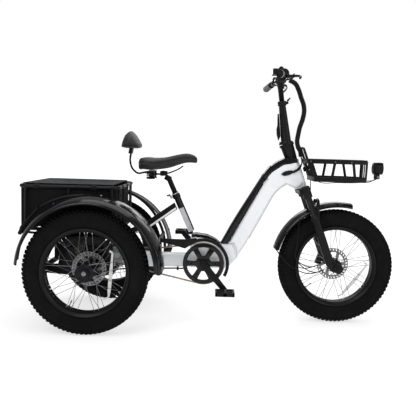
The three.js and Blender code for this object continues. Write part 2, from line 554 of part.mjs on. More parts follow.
caliper(bike, 1154, FRONT_ROTOR_Y, 319, 288.4, 'front_caliper', 16);

const frontFenderProfile = [[334, 0], [330, 38], [316, 58], [311, 58], [326, 37],
  [330, 0], [326, -37], [311, -58], [316, -58], [330, -38]];
const fenderWedge = [[0, 0], [-420, 112], [-420, 420], [92, 420]];
const frontFender = groupAt(bike, WHEELBASE, 0, WHEEL_R);
part(frontFender, 'front_fender', blackPaint, join(
  common(turned(frontFenderProfile, 30), plate(fenderWedge, -90, 90)),
  ...[-1, 1].map((side) => tubeRun([vec(-200, side * 56, 246), vec(-209, side * 60, 34),
    vec(-110, side * 68, -26), vec(-64, side * 70.5, -12)], 3, 5)),
  rod(vec(-128, 0, 304), vec(-117, 0, 345), 5, 6)));

// ---- stem, handlebar and controls ---------------------------------------------------------
const stemBore = rod(vec(0, 0, 100), vec(0, 0, HEAD.length + 60 + GAP), 14 + GAP, 14);
part(steering, 'stem_base', blackPaint, cut(join(
  rod(vec(0, 0, HEAD.length + 1), vec(0, 0, 228), 29, 16, 34),
  rod(vec(0, 0, 226), vec(0, 0, 238), 38, 16)), stemBore));

const post = groupAt(bike, STEM.x, 0, STEM.z, STEM.lean);
const postFoot = box(vec(-60, -60, -40), vec(60, 60, 0)).rotateY(degrees(STEM.lean - HEAD.lean));
part(post, 'stem_post', blackPaint, cut(join(
  rod(vec(0, 0, -4), vec(0, 0, 12), 38, 16, 34),
  rod(vec(0, 0, 0), vec(0, 0, STEM.postLength), 26.5, 16, 17),
  rod(vec(0, 0, STEM.postLength - 12), vec(0, 0, STEM.postLength + 10), 22, 14),
  rod(vec(16, 0, STEM.postLength), vec(32, 0, STEM.postLength), 7, 8)),
rod(vec(0, 0, 24), vec(0, 0, 320), 14.2, 14), postFoot));
part(post, 'fold_latch', darkAlloy, plate([[-39, 20], [-44, 50], [-42, 78], [-35, 98], [-28, 155],
  [-21.5, 155], [-23.8, 96], [-26, 40]], -10, 10, 2));
part(post, 'stem_lever', darkAlloy, join(
  rod(vec(32, 0, STEM.postLength + 7 + GAP), vec(32, 0, STEM.postLength + 17), 5.5, 8),
  rod(vec(32, 0, STEM.postLength + 12), vec(36, -46, STEM.postLength + 18), 4.6, 6, 3.6)));

const barPath = [[866, -335, 1226], [878, -270, 1234], [890, -190, 1240], [901, -110, 1242],
  [903, -45, 1238], [903, 45, 1238], [901, 110, 1242], [890, 190, 1240], [878, 270, 1234],
  [866, 335, 1226]].map(([x, y, z]) => vec(x, y, z));
const postToBike = (x, z) => vec(x, 0, z).applyAxisAngle(vec(0, 1, 0), -degrees(STEM.lean))
  .add(vec(STEM.x, 0, STEM.z));
part(bike, 'handlebar', blackPaint, join(
  rod(postToBike(0, 90), postToBike(0, STEM.riserTop), 13.4, 14),
  bentTube(barPath, 11, 18, 8),
  rod(postToBike(4, STEM.riserTop - 14), vec(903, 0, 1238), 17, 12, 20),
  rod(vec(903, -26, 1238), vec(903, 26, 1238), 21, 12),
));

const bar = new THREE.CatmullRomCurve3(barPath);
function sleeve(from, to, r) {
  const sleevePath = [0, 1, 2, 3].map((i) => bar.getPoint(from + (to - from) * i / 3));
  return bentTube(sleevePath, r, 3, 10);
}
const barSleeveBore = bentTube(barPath, 11.6, 18, 8);
part(bike, 'right_grip', greyPlastic, cut(sleeve(0.004, 0.16, 16.5), barSleeveBore));
part(bike, 'left_grip', greyPlastic, cut(sleeve(0.84, 0.996, 16.5), barSleeveBore));

part(bike, 'display', blackPlastic, cut(join(
  box(vec(866, -42, 1262), vec(904, 30, 1290)),
  box(vec(884, -44, 1232), vec(916, -30, 1270)),
  rod(vec(903, -66, 1285), vec(903, -50, 1288), 12, 10),
  rod(vec(901, -58, 1284), vec(896, -34, 1272), 8, 8),
), barSleeveBore));

function brakeLever(side, name) {
  const pivot = vec(926, side * 176, 1236);
  const blade = bentTube([pivot, vec(958, side * 200, 1235), vec(970, side * 235, 1230),
    vec(966, side * 300, 1216), vec(958, side * 322, 1210)], 5.5, 8, 6);
  const foot = pivot.clone().add(vec(-4, 0, -8));
  part(bike, name, darkAlloy, join(blade, rod(foot, foot.clone().add(vec(0, 0, 16)), 8, 10)));
}
brakeLever(-1, 'right_brake_lever');
brakeLever(1, 'left_brake_lever');

part(bike, 'throttle', blackPlastic, join(
  rod(vec(883, -196, 1219), vec(879, -190, 1208), 6, 8),
  rod(vec(879, -190, 1210), vec(857, -186, 1204), 6, 8, 4.5)));

// ---- cable harness ------------------------------------------------------------------------
const harnessR = 10;
const harnessTop = [vec(950, -24, 1236), vec(980, -22, 1220), vec(1000, -20, 1186), vec(1013, -20, 1150)];
const harnessMiddle = [vec(1013.2, -20, 1149.4), vec(1027, -20, 1115), vec(1031, -20, 1085),
  vec(1026, -20, 1047), vec(1012, -20, 1000), vec(1005, -20, 960)];
const harnessEnd = [vec(1004.9, -20, 959.3), vec(1002, -20, 935), vec(1008, -18, 905), vec(1022, -14, 880),
  vec(1026, -10, 855)];
part(bike, 'harness_upper', blackPlastic, bentTube(harnessTop, harnessR, 5));
part(bike, 'harness_middle', blackPlastic, bentTube(harnessMiddle, harnessR, 8));
part(bike, 'harness_lower', blackPlastic, bentTube(harnessEnd, harnessR, 6));

export default bike;
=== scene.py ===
import json
from math import atan2, cos, degrees, exp, pi, radians, sin
import bpy
import bmesh
import numpy as np
from mathutils import Matrix, Vector


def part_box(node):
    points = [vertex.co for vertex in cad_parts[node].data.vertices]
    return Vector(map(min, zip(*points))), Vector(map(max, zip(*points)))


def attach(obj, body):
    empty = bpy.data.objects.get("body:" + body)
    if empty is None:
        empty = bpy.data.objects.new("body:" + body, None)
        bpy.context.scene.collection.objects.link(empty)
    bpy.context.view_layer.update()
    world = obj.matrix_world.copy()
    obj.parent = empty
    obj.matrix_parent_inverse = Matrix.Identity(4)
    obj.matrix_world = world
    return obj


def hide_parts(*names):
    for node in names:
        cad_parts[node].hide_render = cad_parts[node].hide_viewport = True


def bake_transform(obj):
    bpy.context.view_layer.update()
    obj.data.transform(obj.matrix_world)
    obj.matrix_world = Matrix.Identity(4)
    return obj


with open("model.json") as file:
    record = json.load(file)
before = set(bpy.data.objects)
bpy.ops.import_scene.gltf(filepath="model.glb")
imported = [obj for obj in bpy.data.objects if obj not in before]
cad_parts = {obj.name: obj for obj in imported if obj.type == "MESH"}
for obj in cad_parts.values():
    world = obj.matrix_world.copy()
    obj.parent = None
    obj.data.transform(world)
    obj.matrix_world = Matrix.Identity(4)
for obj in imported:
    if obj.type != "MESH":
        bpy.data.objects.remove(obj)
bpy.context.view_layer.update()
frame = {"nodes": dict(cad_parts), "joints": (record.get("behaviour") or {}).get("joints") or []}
JOINT = {joint["name"]: joint for joint in frame["joints"]}
NODES = frame["nodes"]

AHEAD, LEFT, UP = (1, 0, 0), (0, 1, 0), (0, 0, 1)
RIGHT = (0, -1, 0)

# Shapes below are in millimetres from the rear axle's ground point, and become row metres in piece().
REAR_X = JOINT["right_wheel_spin"]["pos_m"][0]


def mm(name):
    """A joint's place, in millimetres from the rear axle's ground point."""
    x, y, z = JOINT[name]["pos_m"]
    return np.array([(x - REAR_X) * 1000, y * 1000, z * 1000])


def to_row(points):
    points = np.asarray(points, float) / 1000
    return points + np.array([REAR_X, 0, 0])


RIGHT_AXLE, LEFT_AXLE, FRONT_AXLE = mm("right_wheel_spin"), mm("left_wheel_spin"), mm("front_wheel_spin")
CRANK, COGS, HEAD = mm("crank_spin"), mm("cassette_spin"), mm("steering_turn")
STEER_AXIS = np.array(JOINT["steering_turn"]["axis"])
SEAT_AXIS = np.array(JOINT["seat_height"]["axis"])


# ---- materials ---------------------------------------------------------------------------
class Shader:
    """A Principled material whose colour, roughness and relief come from procedural nodes."""

    def __init__(self, name, rough=0.5, metal=0.0, coat=0.0, sheen=0.0, specular=0.5):
        self.material = bpy.data.materials.new(name)
        self.material.use_nodes = True
        self.tree = self.material.node_tree
        self.shader = self.tree.nodes["Principled BSDF"]
        self.set("Metallic", metal)
        self.set("Roughness", rough)
        self.set("Specular IOR Level", specular)
        self.set("Coat Weight", coat)
        self.set("Coat Roughness", 0.06)
        self.set("Sheen Weight", sheen)
        self.place = self.node("ShaderNodeTexCoord").outputs["Object"]

    def set(self, socket, value):
        self.shader.inputs[socket].default_value = value

    def node(self, kind, **values):
        made = self.tree.nodes.new(kind)
        for key, value in values.items():
            if hasattr(made, key):
                setattr(made, key, value)
            else:
                made.inputs[key.replace("_", " ")].default_value = value
        return made

    def link(self, out, into):
        self.tree.links.new(out, into)

    def stretched(self, scale, turn=(0, 0, 0)):
        mapping = self.node("ShaderNodeMapping")
        mapping.inputs["Scale"].default_value = scale
        mapping.inputs["Rotation"].default_value = turn
        self.link(self.place, mapping.inputs["Vector"])
        return mapping.outputs["Vector"]

    def noise(self, scale, detail=4, at=None):
        made = self.node("ShaderNodeTexNoise", Scale=scale, Detail=detail)
        self.link(at or self.place, made.inputs["Vector"])
        return made.outputs["Fac"]

    def cells(self, scale, at=None, feature="DISTANCE_TO_EDGE"):
        made = self.node("ShaderNodeTexVoronoi", feature=feature, Scale=scale)
        self.link(at or self.place, made.inputs["Vector"])
        return made.outputs["Distance"]

    def bands(self, scale, direction="X", at=None, distortion=0.0):
        made = self.node("ShaderNodeTexWave", bands_direction=direction, Scale=scale, Distortion=distortion)
        self.link(at or self.place, made.inputs["Vector"])
        return made.outputs["Fac"]

    def ramp(self, source, low, high, start=0.3, end=0.7):
        made = self.node("ShaderNodeValToRGB")
        made.color_ramp.elements[0].position, made.color_ramp.elements[1].position = start, end
        made.color_ramp.elements[0].color = (*low, 1)
        made.color_ramp.elements[1].color = (*high, 1)
        self.link(source, made.inputs["Fac"])
        return made.outputs["Color"]

    def colour(self, source, low, high, start=0.3, end=0.7):
        self.link(self.ramp(source, low, high, start, end), self.shader.inputs["Base Color"])
        return self

    def roughness(self, source, low, high):
        made = self.node("ShaderNodeMapRange")
        made.inputs["To Min"].default_value = low
        made.inputs["To Max"].default_value = high
        self.link(source, made.inputs["Value"])
        self.link(made.outputs["Result"], self.shader.inputs["Roughness"])
        return self

    def bump(self, source, height, strength=1.0):
        made = self.node("ShaderNodeBump", Strength=strength, Distance=height)
        self.link(source, made.inputs["Height"])
        under = self.shader.inputs["Normal"].links
        if under:
            self.link(under[0].from_socket, made.inputs["Normal"])
        self.link(made.outputs["Normal"], self.shader.inputs["Normal"])
        return self

    def both(self, first, second, operation="MULTIPLY"):
        made = self.node("ShaderNodeMath", operation=operation)
        self.link(first, made.inputs[0])
        self.link(second, made.inputs[1])
        return made.outputs["Value"]


def painted(name, low, high, rough, coat, peel=0.00004, specular=0.5):
    s = Shader(name, rough=rough, coat=coat, specular=specular)
    s.colour(s.noise(9, 3), low, high).roughness(s.noise(35, 6), rough * 0.85, rough * 1.25)
    s.bump(s.noise(420, 2), peel, 0.6)
    return s.material


def moulded(name, low, high, rough, grain=1500, depth=0.00012):
    s = Shader(name, rough=rough, specular=0.16)
    s.colour(s.noise(60, 5), low, high).roughness(s.noise(130, 5), rough * 0.85, min(1, rough * 1.2))
    s.bump(s.noise(grain, 3), depth, 0.7)
    return s.material


def metal(name, low, high, rough, stretch=(30, 900, 30), depth=0.00003):
    s = Shader(name, rough=rough, metal=1)
    lines = s.noise(1, 6, s.stretched(stretch))
    s.colour(s.noise(70, 6), low, high).roughness(lines, rough * 0.7, rough * 1.4).bump(lines, depth, 0.5)
    return s.material


def leather(name, low, high):
    s = Shader(name, rough=0.55, sheen=0.05, specular=0.28)
    grain = s.cells(750)
    s.colour(s.noise(18, 6), low, high).roughness(s.noise(90, 4), 0.45, 0.68)
    s.bump(grain, 0.0004, 0.55).bump(s.noise(60, 4), 0.0006, 0.3)
    return s.material


def woven(name, low, high, pitch, sheen, crease):
    s = Shader(name, rough=0.85, sheen=sheen, specular=0.14)
    threads = s.both(s.bands(pitch, "X"), s.bands(pitch, "Y"), "MAXIMUM")
    upright = s.both(threads, s.bands(pitch, "Z"), "MULTIPLY")
    weave = s.both(upright, s.noise(pitch * 6, 3), "ADD")
    s.colour(s.both(s.noise(14, 6), threads, "MULTIPLY"), low, high, 0.1, 0.6)
    s.roughness(s.noise(40, 5), 0.72, 0.95)
    s.bump(weave, 0.0004, 0.6).bump(s.noise(crease, 5), 0.005, 0.5)
    return s.material


def rubber(name, low, high, rough=0.8):
    s = Shader(name, rough=rough, specular=0.11)
    dust = s.both(s.noise(22, 7), s.noise(5, 3), "MULTIPLY")
    s.colour(dust, low, high, 0.15, 0.5).roughness(s.noise(55, 6), rough * 0.85, min(1, rough * 1.15))
    s.bump(s.noise(850, 4), 0.0003, 0.6).bump(s.noise(45, 5), 0.0006, 0.25)
    return s.material


def lens(name, tint, rough=0.12, cell=260):
    s = Shader(name, rough=rough, coat=1.0, specular=0.7)
    pattern = s.cells(cell)
    s.colour(pattern, tuple(c * 0.75 for c in tint), tint, 0.0, 0.25)
    s.roughness(s.noise(80, 3), rough, rough * 2)
    s.bump(pattern, 0.0006, 0.6)
    return s.material


WHITE = painted("white_gloss_paint", (0.77, 0.785, 0.81), (0.84, 0.85, 0.87), 0.28, 1.0)
BLACK_GLOSS = painted("black_gloss_paint", (0.002, 0.002, 0.003), (0.004, 0.004, 0.005), 0.22, 0.3, 0.00001,
                      0.12)
BLACK_SATIN = painted("black_satin_powder", (0.0025, 0.0025, 0.003), (0.005, 0.005, 0.006), 0.44, 0.05, 0.00012,
                      0.16)
# A grey copy of the white paint: painted shade standing for white plates in shadow.
SHADED_WHITE_PAINT = painted("grey_plate_paint", (0.30, 0.31, 0.32), (0.38, 0.39, 0.40), 0.4, 0.3)
PLASTIC = moulded("black_moulded_plastic", (0.004, 0.004, 0.005), (0.009, 0.009, 0.010), 0.5)
CABLE = moulded("cable_jacket", (0.004, 0.004, 0.005), (0.010, 0.010, 0.011), 0.42, 2200, 0.00006)
GRIP = rubber("grey_grip_rubber", (0.14, 0.145, 0.15), (0.21, 0.215, 0.22), 0.75)
GRIP_END = rubber("black_end_cap", (0.004, 0.004, 0.005), (0.010, 0.010, 0.011), 0.6)
TYRE = rubber("tyre_rubber", (0.0028, 0.0028, 0.0032), (0.007, 0.007, 0.008), 0.86)
SADDLE = leather("saddle_cover", (0.009, 0.009, 0.010), (0.018, 0.018, 0.020))
BAG = woven("bag_fabric", (0.002, 0.002, 0.003), (0.007, 0.007, 0.008), 420, 0.02, 16)
LID = woven("lid_fabric", (0.014, 0.015, 0.017), (0.034, 0.036, 0.039), 360, 0.08, 11)
STRAP = woven("strap_webbing", (0.004, 0.004, 0.005), (0.012, 0.012, 0.013), 700, 0.05, 60)
STEEL = metal("brushed_steel", (0.16, 0.16, 0.165), (0.28, 0.28, 0.285), 0.3)
SPOKE = metal("spoke_steel", (0.10, 0.10, 0.105), (0.20, 0.20, 0.205), 0.34)
CHAIN = metal("chain_steel", (0.16, 0.13, 0.10), (0.36, 0.31, 0.25), 0.34)
COG = metal("cog_steel", (0.20, 0.17, 0.14), (0.40, 0.36, 0.31), 0.36)
DARK_ALLOY = metal("black_anodised", (0.012, 0.012, 0.013), (0.024, 0.024, 0.026), 0.38)
BOLT = metal("bolt_steel", (0.20, 0.20, 0.21), (0.34, 0.34, 0.35), 0.3)
CHROME = metal("polished_steel", (0.62, 0.63, 0.65), (0.72, 0.73, 0.74), 0.12)
REFLECTOR = lens("clear_reflector", (0.62, 0.62, 0.60))
LAMP_LENS = lens("lamp_lens", (0.55, 0.57, 0.60), 0.08, 120)
SCREEN = lens("display_glass", (0.02, 0.024, 0.03), 0.06, 40)

# The record's material slot for each look.
SLOTS = {
    "white_paint": (WHITE, SHADED_WHITE_PAINT,),
    "black_paint": (BLACK_GLOSS, BLACK_SATIN,),
    "black_plastic": (PLASTIC,),
    "grip_rubber": (GRIP,),
    "tyre": (TYRE,),
    "saddle_cover": (SADDLE,),
    "bag_fabric": (BAG,),
    "lid_fabric": (LID,),
    "steel": (STEEL, SPOKE, CHAIN, COG, BOLT, CHROME,),
    "dark_alloy": (DARK_ALLOY,),
}
SLOT_OF = {material.name: slot for slot, materials in SLOTS.items() for material in materials}

SEAT_FOOT = np.array([484, 0, 437])  # where the seat tube meets the lower frame
SIDE_NAME = {-1: "right", 1: "left"}


# ---- shapes: each returns (points in millimetres, faces) --------------------------------------
def spline(points, count):
    """A smooth curve through the points, in even steps."""
    p = np.array(points, float)
    t = np.concatenate([[0], np.cumsum(np.linalg.norm(np.diff(p, axis=0), axis=1))])
    slope = np.gradient(p, t, axis=0)
    s = np.linspace(0, t[-1], count)
    i = np.clip(np.searchsorted(t, s, side="right") - 1, 0, len(p) - 2)
    h = (t[i + 1] - t[i])[:, None]
    u = ((s - t[i]) / h[:, 0])[:, None]
    return ((2 * u**3 - 3 * u**2 + 1) * p[i] + (u**3 - 2 * u**2 + u) * h * slope[i]
            + (3 * u**2 - 2 * u**3) * p[i + 1] + (u**3 - u**2) * h * slope[i + 1])


def rounded_path(points, radius, closed=False, steps=5):
    """The straight-sided path with each corner rounded off."""
    p = np.array(points, float)
    n = len(p)
    out = []
    for k in range(n):
        if not closed and k in (0, n - 1):
            out.append(p[k])
            continue
        before, here, after = p[k - 1], p[k], p[(k + 1) % n]
        r1 = min(radius, 0.48 * np.linalg.norm(before - here))
        r2 = min(radius, 0.48 * np.linalg.norm(after - here))
        a = here + (before - here) / np.linalg.norm(before - here) * r1
        b = here + (after - here) / np.linalg.norm(after - here) * r2
        for u in np.linspace(0, 1, steps + 1):
            out.append((1 - u) ** 2 * a + 2 * u * (1 - u) * here + u**2 * b)
    return np.array(out)


def circle(r, sides=12):
    a = np.linspace(0, 2 * pi, sides, endpoint=False)
    return np.stack([r * np.cos(a), r * np.sin(a)], 1)


def rounded_bar(width, height, corner, steps=3):
    """The section of a flat bar with rounded corners."""
    w, h = width / 2, height / 2
    corners = np.array([[w, h, 0], [-w, h, 0], [-w, -h, 0], [w, -h, 0]])
    return rounded_path(corners, corner, True, steps)[:, :2]


def sweep(path, section, closed=False, up=None, grow=None):
    """The section carried along the path, kept level to up, or turning as little as it can."""
    p = np.asarray(path, float)
    n, k = len(p), len(section)
    ahead = np.roll(p, -1, 0) - p if closed else np.gradient(p, axis=0)
    if closed:
        ahead = ahead + np.roll(ahead, 1, 0)
    ahead = ahead / np.linalg.norm(ahead, axis=1)[:, None]
    side = np.zeros_like(p)
    if up is not None:
        side = np.cross(np.array(up, float), ahead)
    else:
        seed = np.array([0, 1, 0]) if abs(ahead[0][1]) < 0.8 else np.array([1, 0, 0])
        side[0] = seed - ahead[0] * ahead[0].dot(seed)
        for i in range(1, n):
            last = side[i - 1] / np.linalg.norm(side[i - 1])
            side[i] = last - ahead[i] * ahead[i].dot(last)
    side = side / np.linalg.norm(side, axis=1)[:, None]
    over = np.cross(ahead, side)
    scale = np.ones(n) if grow is None else np.asarray(grow, float)
    points = (p[:, None, :] + scale[:, None, None] * (side[:, None, :] * section[None, :, :1]
              + over[:, None, :] * section[None, :, 1:])).reshape(-1, 3)
    faces = []
    for i in range(n if closed else n - 1):
        j = (i + 1) % n
        for c in range(k):
            d = (c + 1) % k
            faces.append((i * k + c, i * k + d, j * k + d, j * k + c))
    if not closed:
        faces.append(tuple(range(k - 1, -1, -1)))
        faces.append(tuple((n - 1) * k + c for c in range(k)))
    return points, faces


def loft(rings):
    """A closed body through rings that have the same number of points."""
    rings = np.array(rings)
    n, k = rings.shape[:2]
    faces = [(i * k + c, i * k + (c + 1) % k, (i + 1) * k + (c + 1) % k, (i + 1) * k + c)
             for i in range(n - 1) for c in range(k)]
    faces += [tuple(range(k)), tuple((n - 1) * k + c for c in range(k))]
    return rings.reshape(-1, 3), faces


def tube(points, r, count=0, sides=12, closed=False):
    """A round tube, smooth through the points where count is given."""
    path = spline(points, count) if count else np.array(points, float)
    return sweep(path, circle(r, sides), closed)


def spun(origin, axis, profile, sides=32, closed=False, start=0.0, turn=360.0):
    """The [radius, distance along the axis] profile, turned about the axis."""
    z = np.array(axis, float)
    z = z / np.linalg.norm(z)
    x = np.cross([0, 1, 0], z) if abs(z[1]) < 0.9 else np.array([1.0, 0, 0])
    x = x / np.linalg.norm(x)
    y = np.cross(z, x)
    whole = turn >= 360
    steps = sides if whole else sides + 1
    angles = np.radians(start + np.arange(steps) * turn / sides)
    k = len(profile)
    points = []
    for a in angles:
        direction = cos(a) * x + sin(a) * y
        points += [np.asarray(origin) + r * direction + t * z for r, t in profile]
    faces = []
    for i in range(sides):
        j = (i + 1) % steps
        for c in range(k if closed else k - 1):
            d = (c + 1) % k
            faces.append((i * k + c, i * k + d, j * k + d, j * k + c))
    if not whole and closed:
        faces.append(tuple(range(k)))
        faces.append(tuple((steps - 1) * k + c for c in range(k - 1, -1, -1)))
    if not closed and whole:
        for c in (0, k - 1):
            if profile[c][0] > 1e-6:
                faces.append(tuple(i * k + c for i in range(steps)))
    return np.array(points), faces


def rod(a, b, r, far_r=None, sides=20, edge=1.0):
    """A round bar with softened ends."""
    a, b = np.array(a, float), np.array(b, float)
    length = np.linalg.norm(b - a)
    far_r = r if far_r is None else far_r
    profile = [(r - edge, 0), (r, edge), (far_r, length - edge), (far_r - edge, length)]
    return spun(a, b - a, profile, sides)


def bolt(at, axis, r=5, height=4):
    """A socket-head screw."""
    profile = [(r * 0.45, height * 0.4), (r * 0.5, height), (r * 0.9, height), (r, height * 0.8), (r, 0)]
    return spun(at, axis, profile, 12)


def block(low, high, edge=2.0, turn=None):
    """A box with rounded edges, turned about its middle where turn is given as (axis, degrees)."""
    low, high = np.array(low, float), np.array(high, float)
    made = bmesh.new()
    bmesh.ops.create_cube(made, size=1)
    size = high - low
    for v in made.verts:
        v.co = Vector(np.array(v.co) * size)
    bmesh.ops.bevel(made, geom=made.edges[:], offset=min(edge, size.min() * 0.45), segments=3,
                    profile=0.5, affect="EDGES")
    if turn:
        bmesh.ops.rotate(made, verts=made.verts[:], matrix=Matrix.Rotation(radians(turn[1]), 3, turn[0]))
    return from_bmesh(made, (low + high) / 2)


def from_bmesh(made, move=(0, 0, 0)):
    made.verts.index_update()
    points = np.array([v.co[:] for v in made.verts]) + np.array(move)
    faces = [tuple(v.index for v in f.verts) for f in made.faces]
    made.free()
    return points, faces


def plate(outline, low_y, high_y, edge=1.5, holes=(), resolution=3):
    """A plate with its [x, z] outline standing along X, with rounded edges and any holes."""
    curve = bpy.data.curves.new("plate_outline", "CURVE")
    curve.dimensions = "2D"
    curve.fill_mode = "BOTH"
    curve.extrude = (high_y - low_y) / 2 - edge
    curve.bevel_depth = edge
    curve.bevel_resolution = resolution
    curve.offset = -edge
    for ring in [outline, *holes]:
        spline_made = curve.splines.new("POLY")
        spline_made.points.add(len(ring) - 1)
        for point, (x, z) in zip(spline_made.points, ring):
            point.co = (x, z, 0, 1)
        spline_made.use_cyclic_u = True
    holder = bpy.data.objects.new("plate_outline", curve)
    mesh = bpy.data.meshes.new_from_object(holder)
    co = np.array([v.co[:] for v in mesh.vertices])
    points = np.stack([co[:, 0], (low_y + high_y) / 2 - co[:, 2], co[:, 1]], 1)
    faces = [tuple(f.vertices) for f in mesh.polygons]
    bpy.data.objects.remove(holder)
    bpy.data.curves.remove(curve)
    bpy.data.meshes.remove(mesh)
    return points, faces


def arc(x, z, r, start, end, steps):
    """[x, z] points round a centre in side view, from one angle to another in degrees."""
    a = np.radians(np.linspace(start, end, steps + 1))
    return [(x + r * c, z + r * s) for c, s in zip(np.cos(a), np.sin(a))]


def whole_ring(x, z, r):
    return arc(x, z, r, 0, 355, 71)


def in_ring(x, y, z, r, count, start=0):
    """Points spread evenly round a centre in side view."""
    return [(x + r * cos(a), y, z + r * sin(a)) for a in np.radians(np.arange(count) * 360 / count + start)]


def piece(name, material, body, *shapes, stands_for=(), slot=None, sharp=38, soften=0, smooth=0):
    """One object of the shapes, in row metres, which rides on the body."""
    points, faces, base = [], [], 0
    for shape_points, shape_faces in shapes:
        points.append(to_row(shape_points))
        faces += [tuple(i + base for i in f) for f in shape_faces]
        base += len(shape_points)
    mesh = bpy.data.meshes.new(name)
    mesh.from_pydata(np.concatenate(points).tolist(), [], faces)
    mesh.validate()
    obj = bpy.data.objects.new(name, mesh)
    bpy.context.scene.collection.objects.link(obj)
    made = bmesh.new()
    made.from_mesh(mesh)
    bmesh.ops.remove_doubles(made, verts=made.verts[:], dist=1e-6)
    bmesh.ops.recalc_face_normals(made, faces=made.faces[:])
    made.to_mesh(mesh)
    made.free()
    mesh.materials.append(material)
    finish_mesh(obj, sharp, soften, smooth)
    if body:
        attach(obj, body)
    if stands_for:
        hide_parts(*([stands_for] if isinstance(stands_for, str) else stands_for))
    slot = slot or SLOT_OF.get(material.name)
    return obj


def finish_mesh(obj, sharp, soften, smooth):
    if smooth:
        levels = obj.modifiers.new("smooth_surface", "SUBSURF")
        levels.levels = levels.render_levels = smooth
    if soften:
        bevel = obj.modifiers.new("soft_edges", "BEVEL")
        bevel.width, bevel.segments = soften / 1000, 3
        bevel.limit_method, bevel.angle_limit = "ANGLE", radians(30)
        bevel.harden_normals = True
    obj.data.shade_smooth()
    if sharp < 180:
        obj.data.set_sharp_from_angle(angle=radians(sharp))


def keep(node, material, soften=0):
    """A CAD node stays, with its own material, joined corners and softened edges."""
    obj = NODES[node]
    obj.data.materials.clear()
    obj.data.materials.append(material)
    weld = obj.modifiers.new("joined_corners", "WELD")
    weld.merge_threshold = 1e-5
    finish_mesh(obj, 34, soften, 0)


# ---- wheels ------------------------------------------------------------------------------
TREAD_BLOCKS = 84  # in each row
# Each row: distance from the middle, foot and top radius, half width, half length, stagger in blocks.
TREAD_ROWS = [(8.5, 288.6, 294.6, 7.4, 6.4, 0.0), (25.5, 285.8, 291.8, 7.4, 6.4, 0.5),
              (39.5, 276.0, 281.6, 5.4, 5.6, 0.0)]
SPOKES = 36
RIM_SEAT_R = 191  # where the nipples sit
RIM_EDGE = [(207, 37), (209.5, 39.5), (208, 41.2), (204, 40.2), (198, 35), (193, 31), (189.5, 26), (188, 12),
            (190.5, 6)]


def tyre_shape(centre):
    """A fat tyre: a smooth carcass with sidewall ribs, and rows of raised tread blocks."""
    half = [(205, 31), (207, 34), (214, 37.5), (216, 39.5), (219, 39.8), (221, 41), (236, 46), (250, 48.2),
            (252, 49.5), (255, 49.4), (257, 47.8), (268, 45), (278, 39), (285, 29), (288.5, 15)]
    profile = [(r, y) for r, y in half] + [(289.5, 0)] + [(r, -y) for r, y in reversed(half)]
    profile += [(205, -28), (240, -40), (280, -24), (285, 0), (280, 24), (240, 40), (205, 28)]
    shapes = [spun(centre, LEFT, profile, 96, closed=True)]
    for side in (-1, 1):
        for y, low, high, half_width, half_length, stagger in TREAD_ROWS:
            for k in range(TREAD_BLOCKS):
                angle = (k + stagger + (0.25 if side > 0 else 0)) * 2 * pi / TREAD_BLOCKS
                shapes.append(tread_block(centre, angle, side * y, low - 3, high, half_width, half_length,
                                          side))
    return shapes


def tread_block(centre, angle, y, low, high, half_width, half_length, side):
    out = np.array([sin(angle), 0, cos(angle)])
    along = np.array([cos(angle), 0, -sin(angle)])
    across = np.array([0, 1, 0])
    lean = 0.22 * np.sign(y) * max(0, (abs(y) - 20) / 20)
    points = []
    for r, shrink in ((low, 1.12), (high, 0.84)):
        for a, w in ((-1, -1), (1, -1), (1, 1), (-1, 1)):
            skew = 1.8 * w * side
            drop = lean * w * half_width
            points.append(np.asarray(centre) + out * (r - abs(drop) * (w * np.sign(y) > 0))
                          + along * (a * half_length * shrink + skew)
                          + across * (y + w * half_width * shrink))
    faces = [(4, 5, 6, 7), (0, 1, 5, 4), (1, 2, 6, 5), (2, 3, 7, 6), (3, 0, 4, 7)]
    return np.array(points), faces


def rim_shape(centre):
    far_edge = [(r, -y) for r, y in reversed(RIM_EDGE)]
    profile = RIM_EDGE + far_edge + [(200, -30), (195, -20), (195, 20), (200, 30)]
    return spun(centre, LEFT, profile, 108, closed=True)


def hub_shape(centre, body_r, flange_r, half_width):
    """A hub shell with a flange at each end; each half is given by its distance in from the end."""
    half = [(body_r * 0.5, -2), (body_r * 0.8, 0), (body_r * 0.85, 3), (flange_r - 1, 3.6), (flange_r, 5),
            (flange_r, 8), (flange_r - 1, 9.2), (body_r, 12), (body_r * 0.86, 20)]
    profile = [(r, -half_width + t) for r, t in half] + [(r, half_width - t) for r, t in reversed(half)]
    return spun(centre, LEFT, profile, 40)


def spoke_shapes(centre, flange_r, half_width):
    """Thirty-six crossed spokes with their nipples."""
    spokes, nipples = [], []
    for k in range(SPOKES):
        side = 1 if k % 2 else -1
        foot_angle = radians(k * 10)
        rim_angle = foot_angle + radians(47 if (k // 2) % 2 else -47) + radians(5)
        hole_r = flange_r - 3
        foot_y = side * (half_width - 6.5 + 2.2 * (k // 2 % 2))
        foot = np.array(centre) + [hole_r * sin(foot_angle), foot_y, hole_r * cos(foot_angle)]
        rim = np.array(centre) + [RIM_SEAT_R * sin(rim_angle), side * 7, RIM_SEAT_R * cos(rim_angle)]
        spokes.append(tube([foot, rim], 1.15, sides=6))
        along = (foot - rim) / np.linalg.norm(foot - rim)
        nipples.append(rod(rim + along * -2, rim + along * 13, 2.3, 1.7, 8, 0.3))
    return spokes, nipples


def valve(centre, angle):
    a = radians(angle)
    out = np.array([sin(a), 0, cos(a)])
    foot = np.array(centre) + out * 190
    return spun(foot, -out, [(4, 0), (4, 3), (2.4, 4), (2.4, 26), (3.4, 27), (3.4, 36), (1.5, 38)], 12)


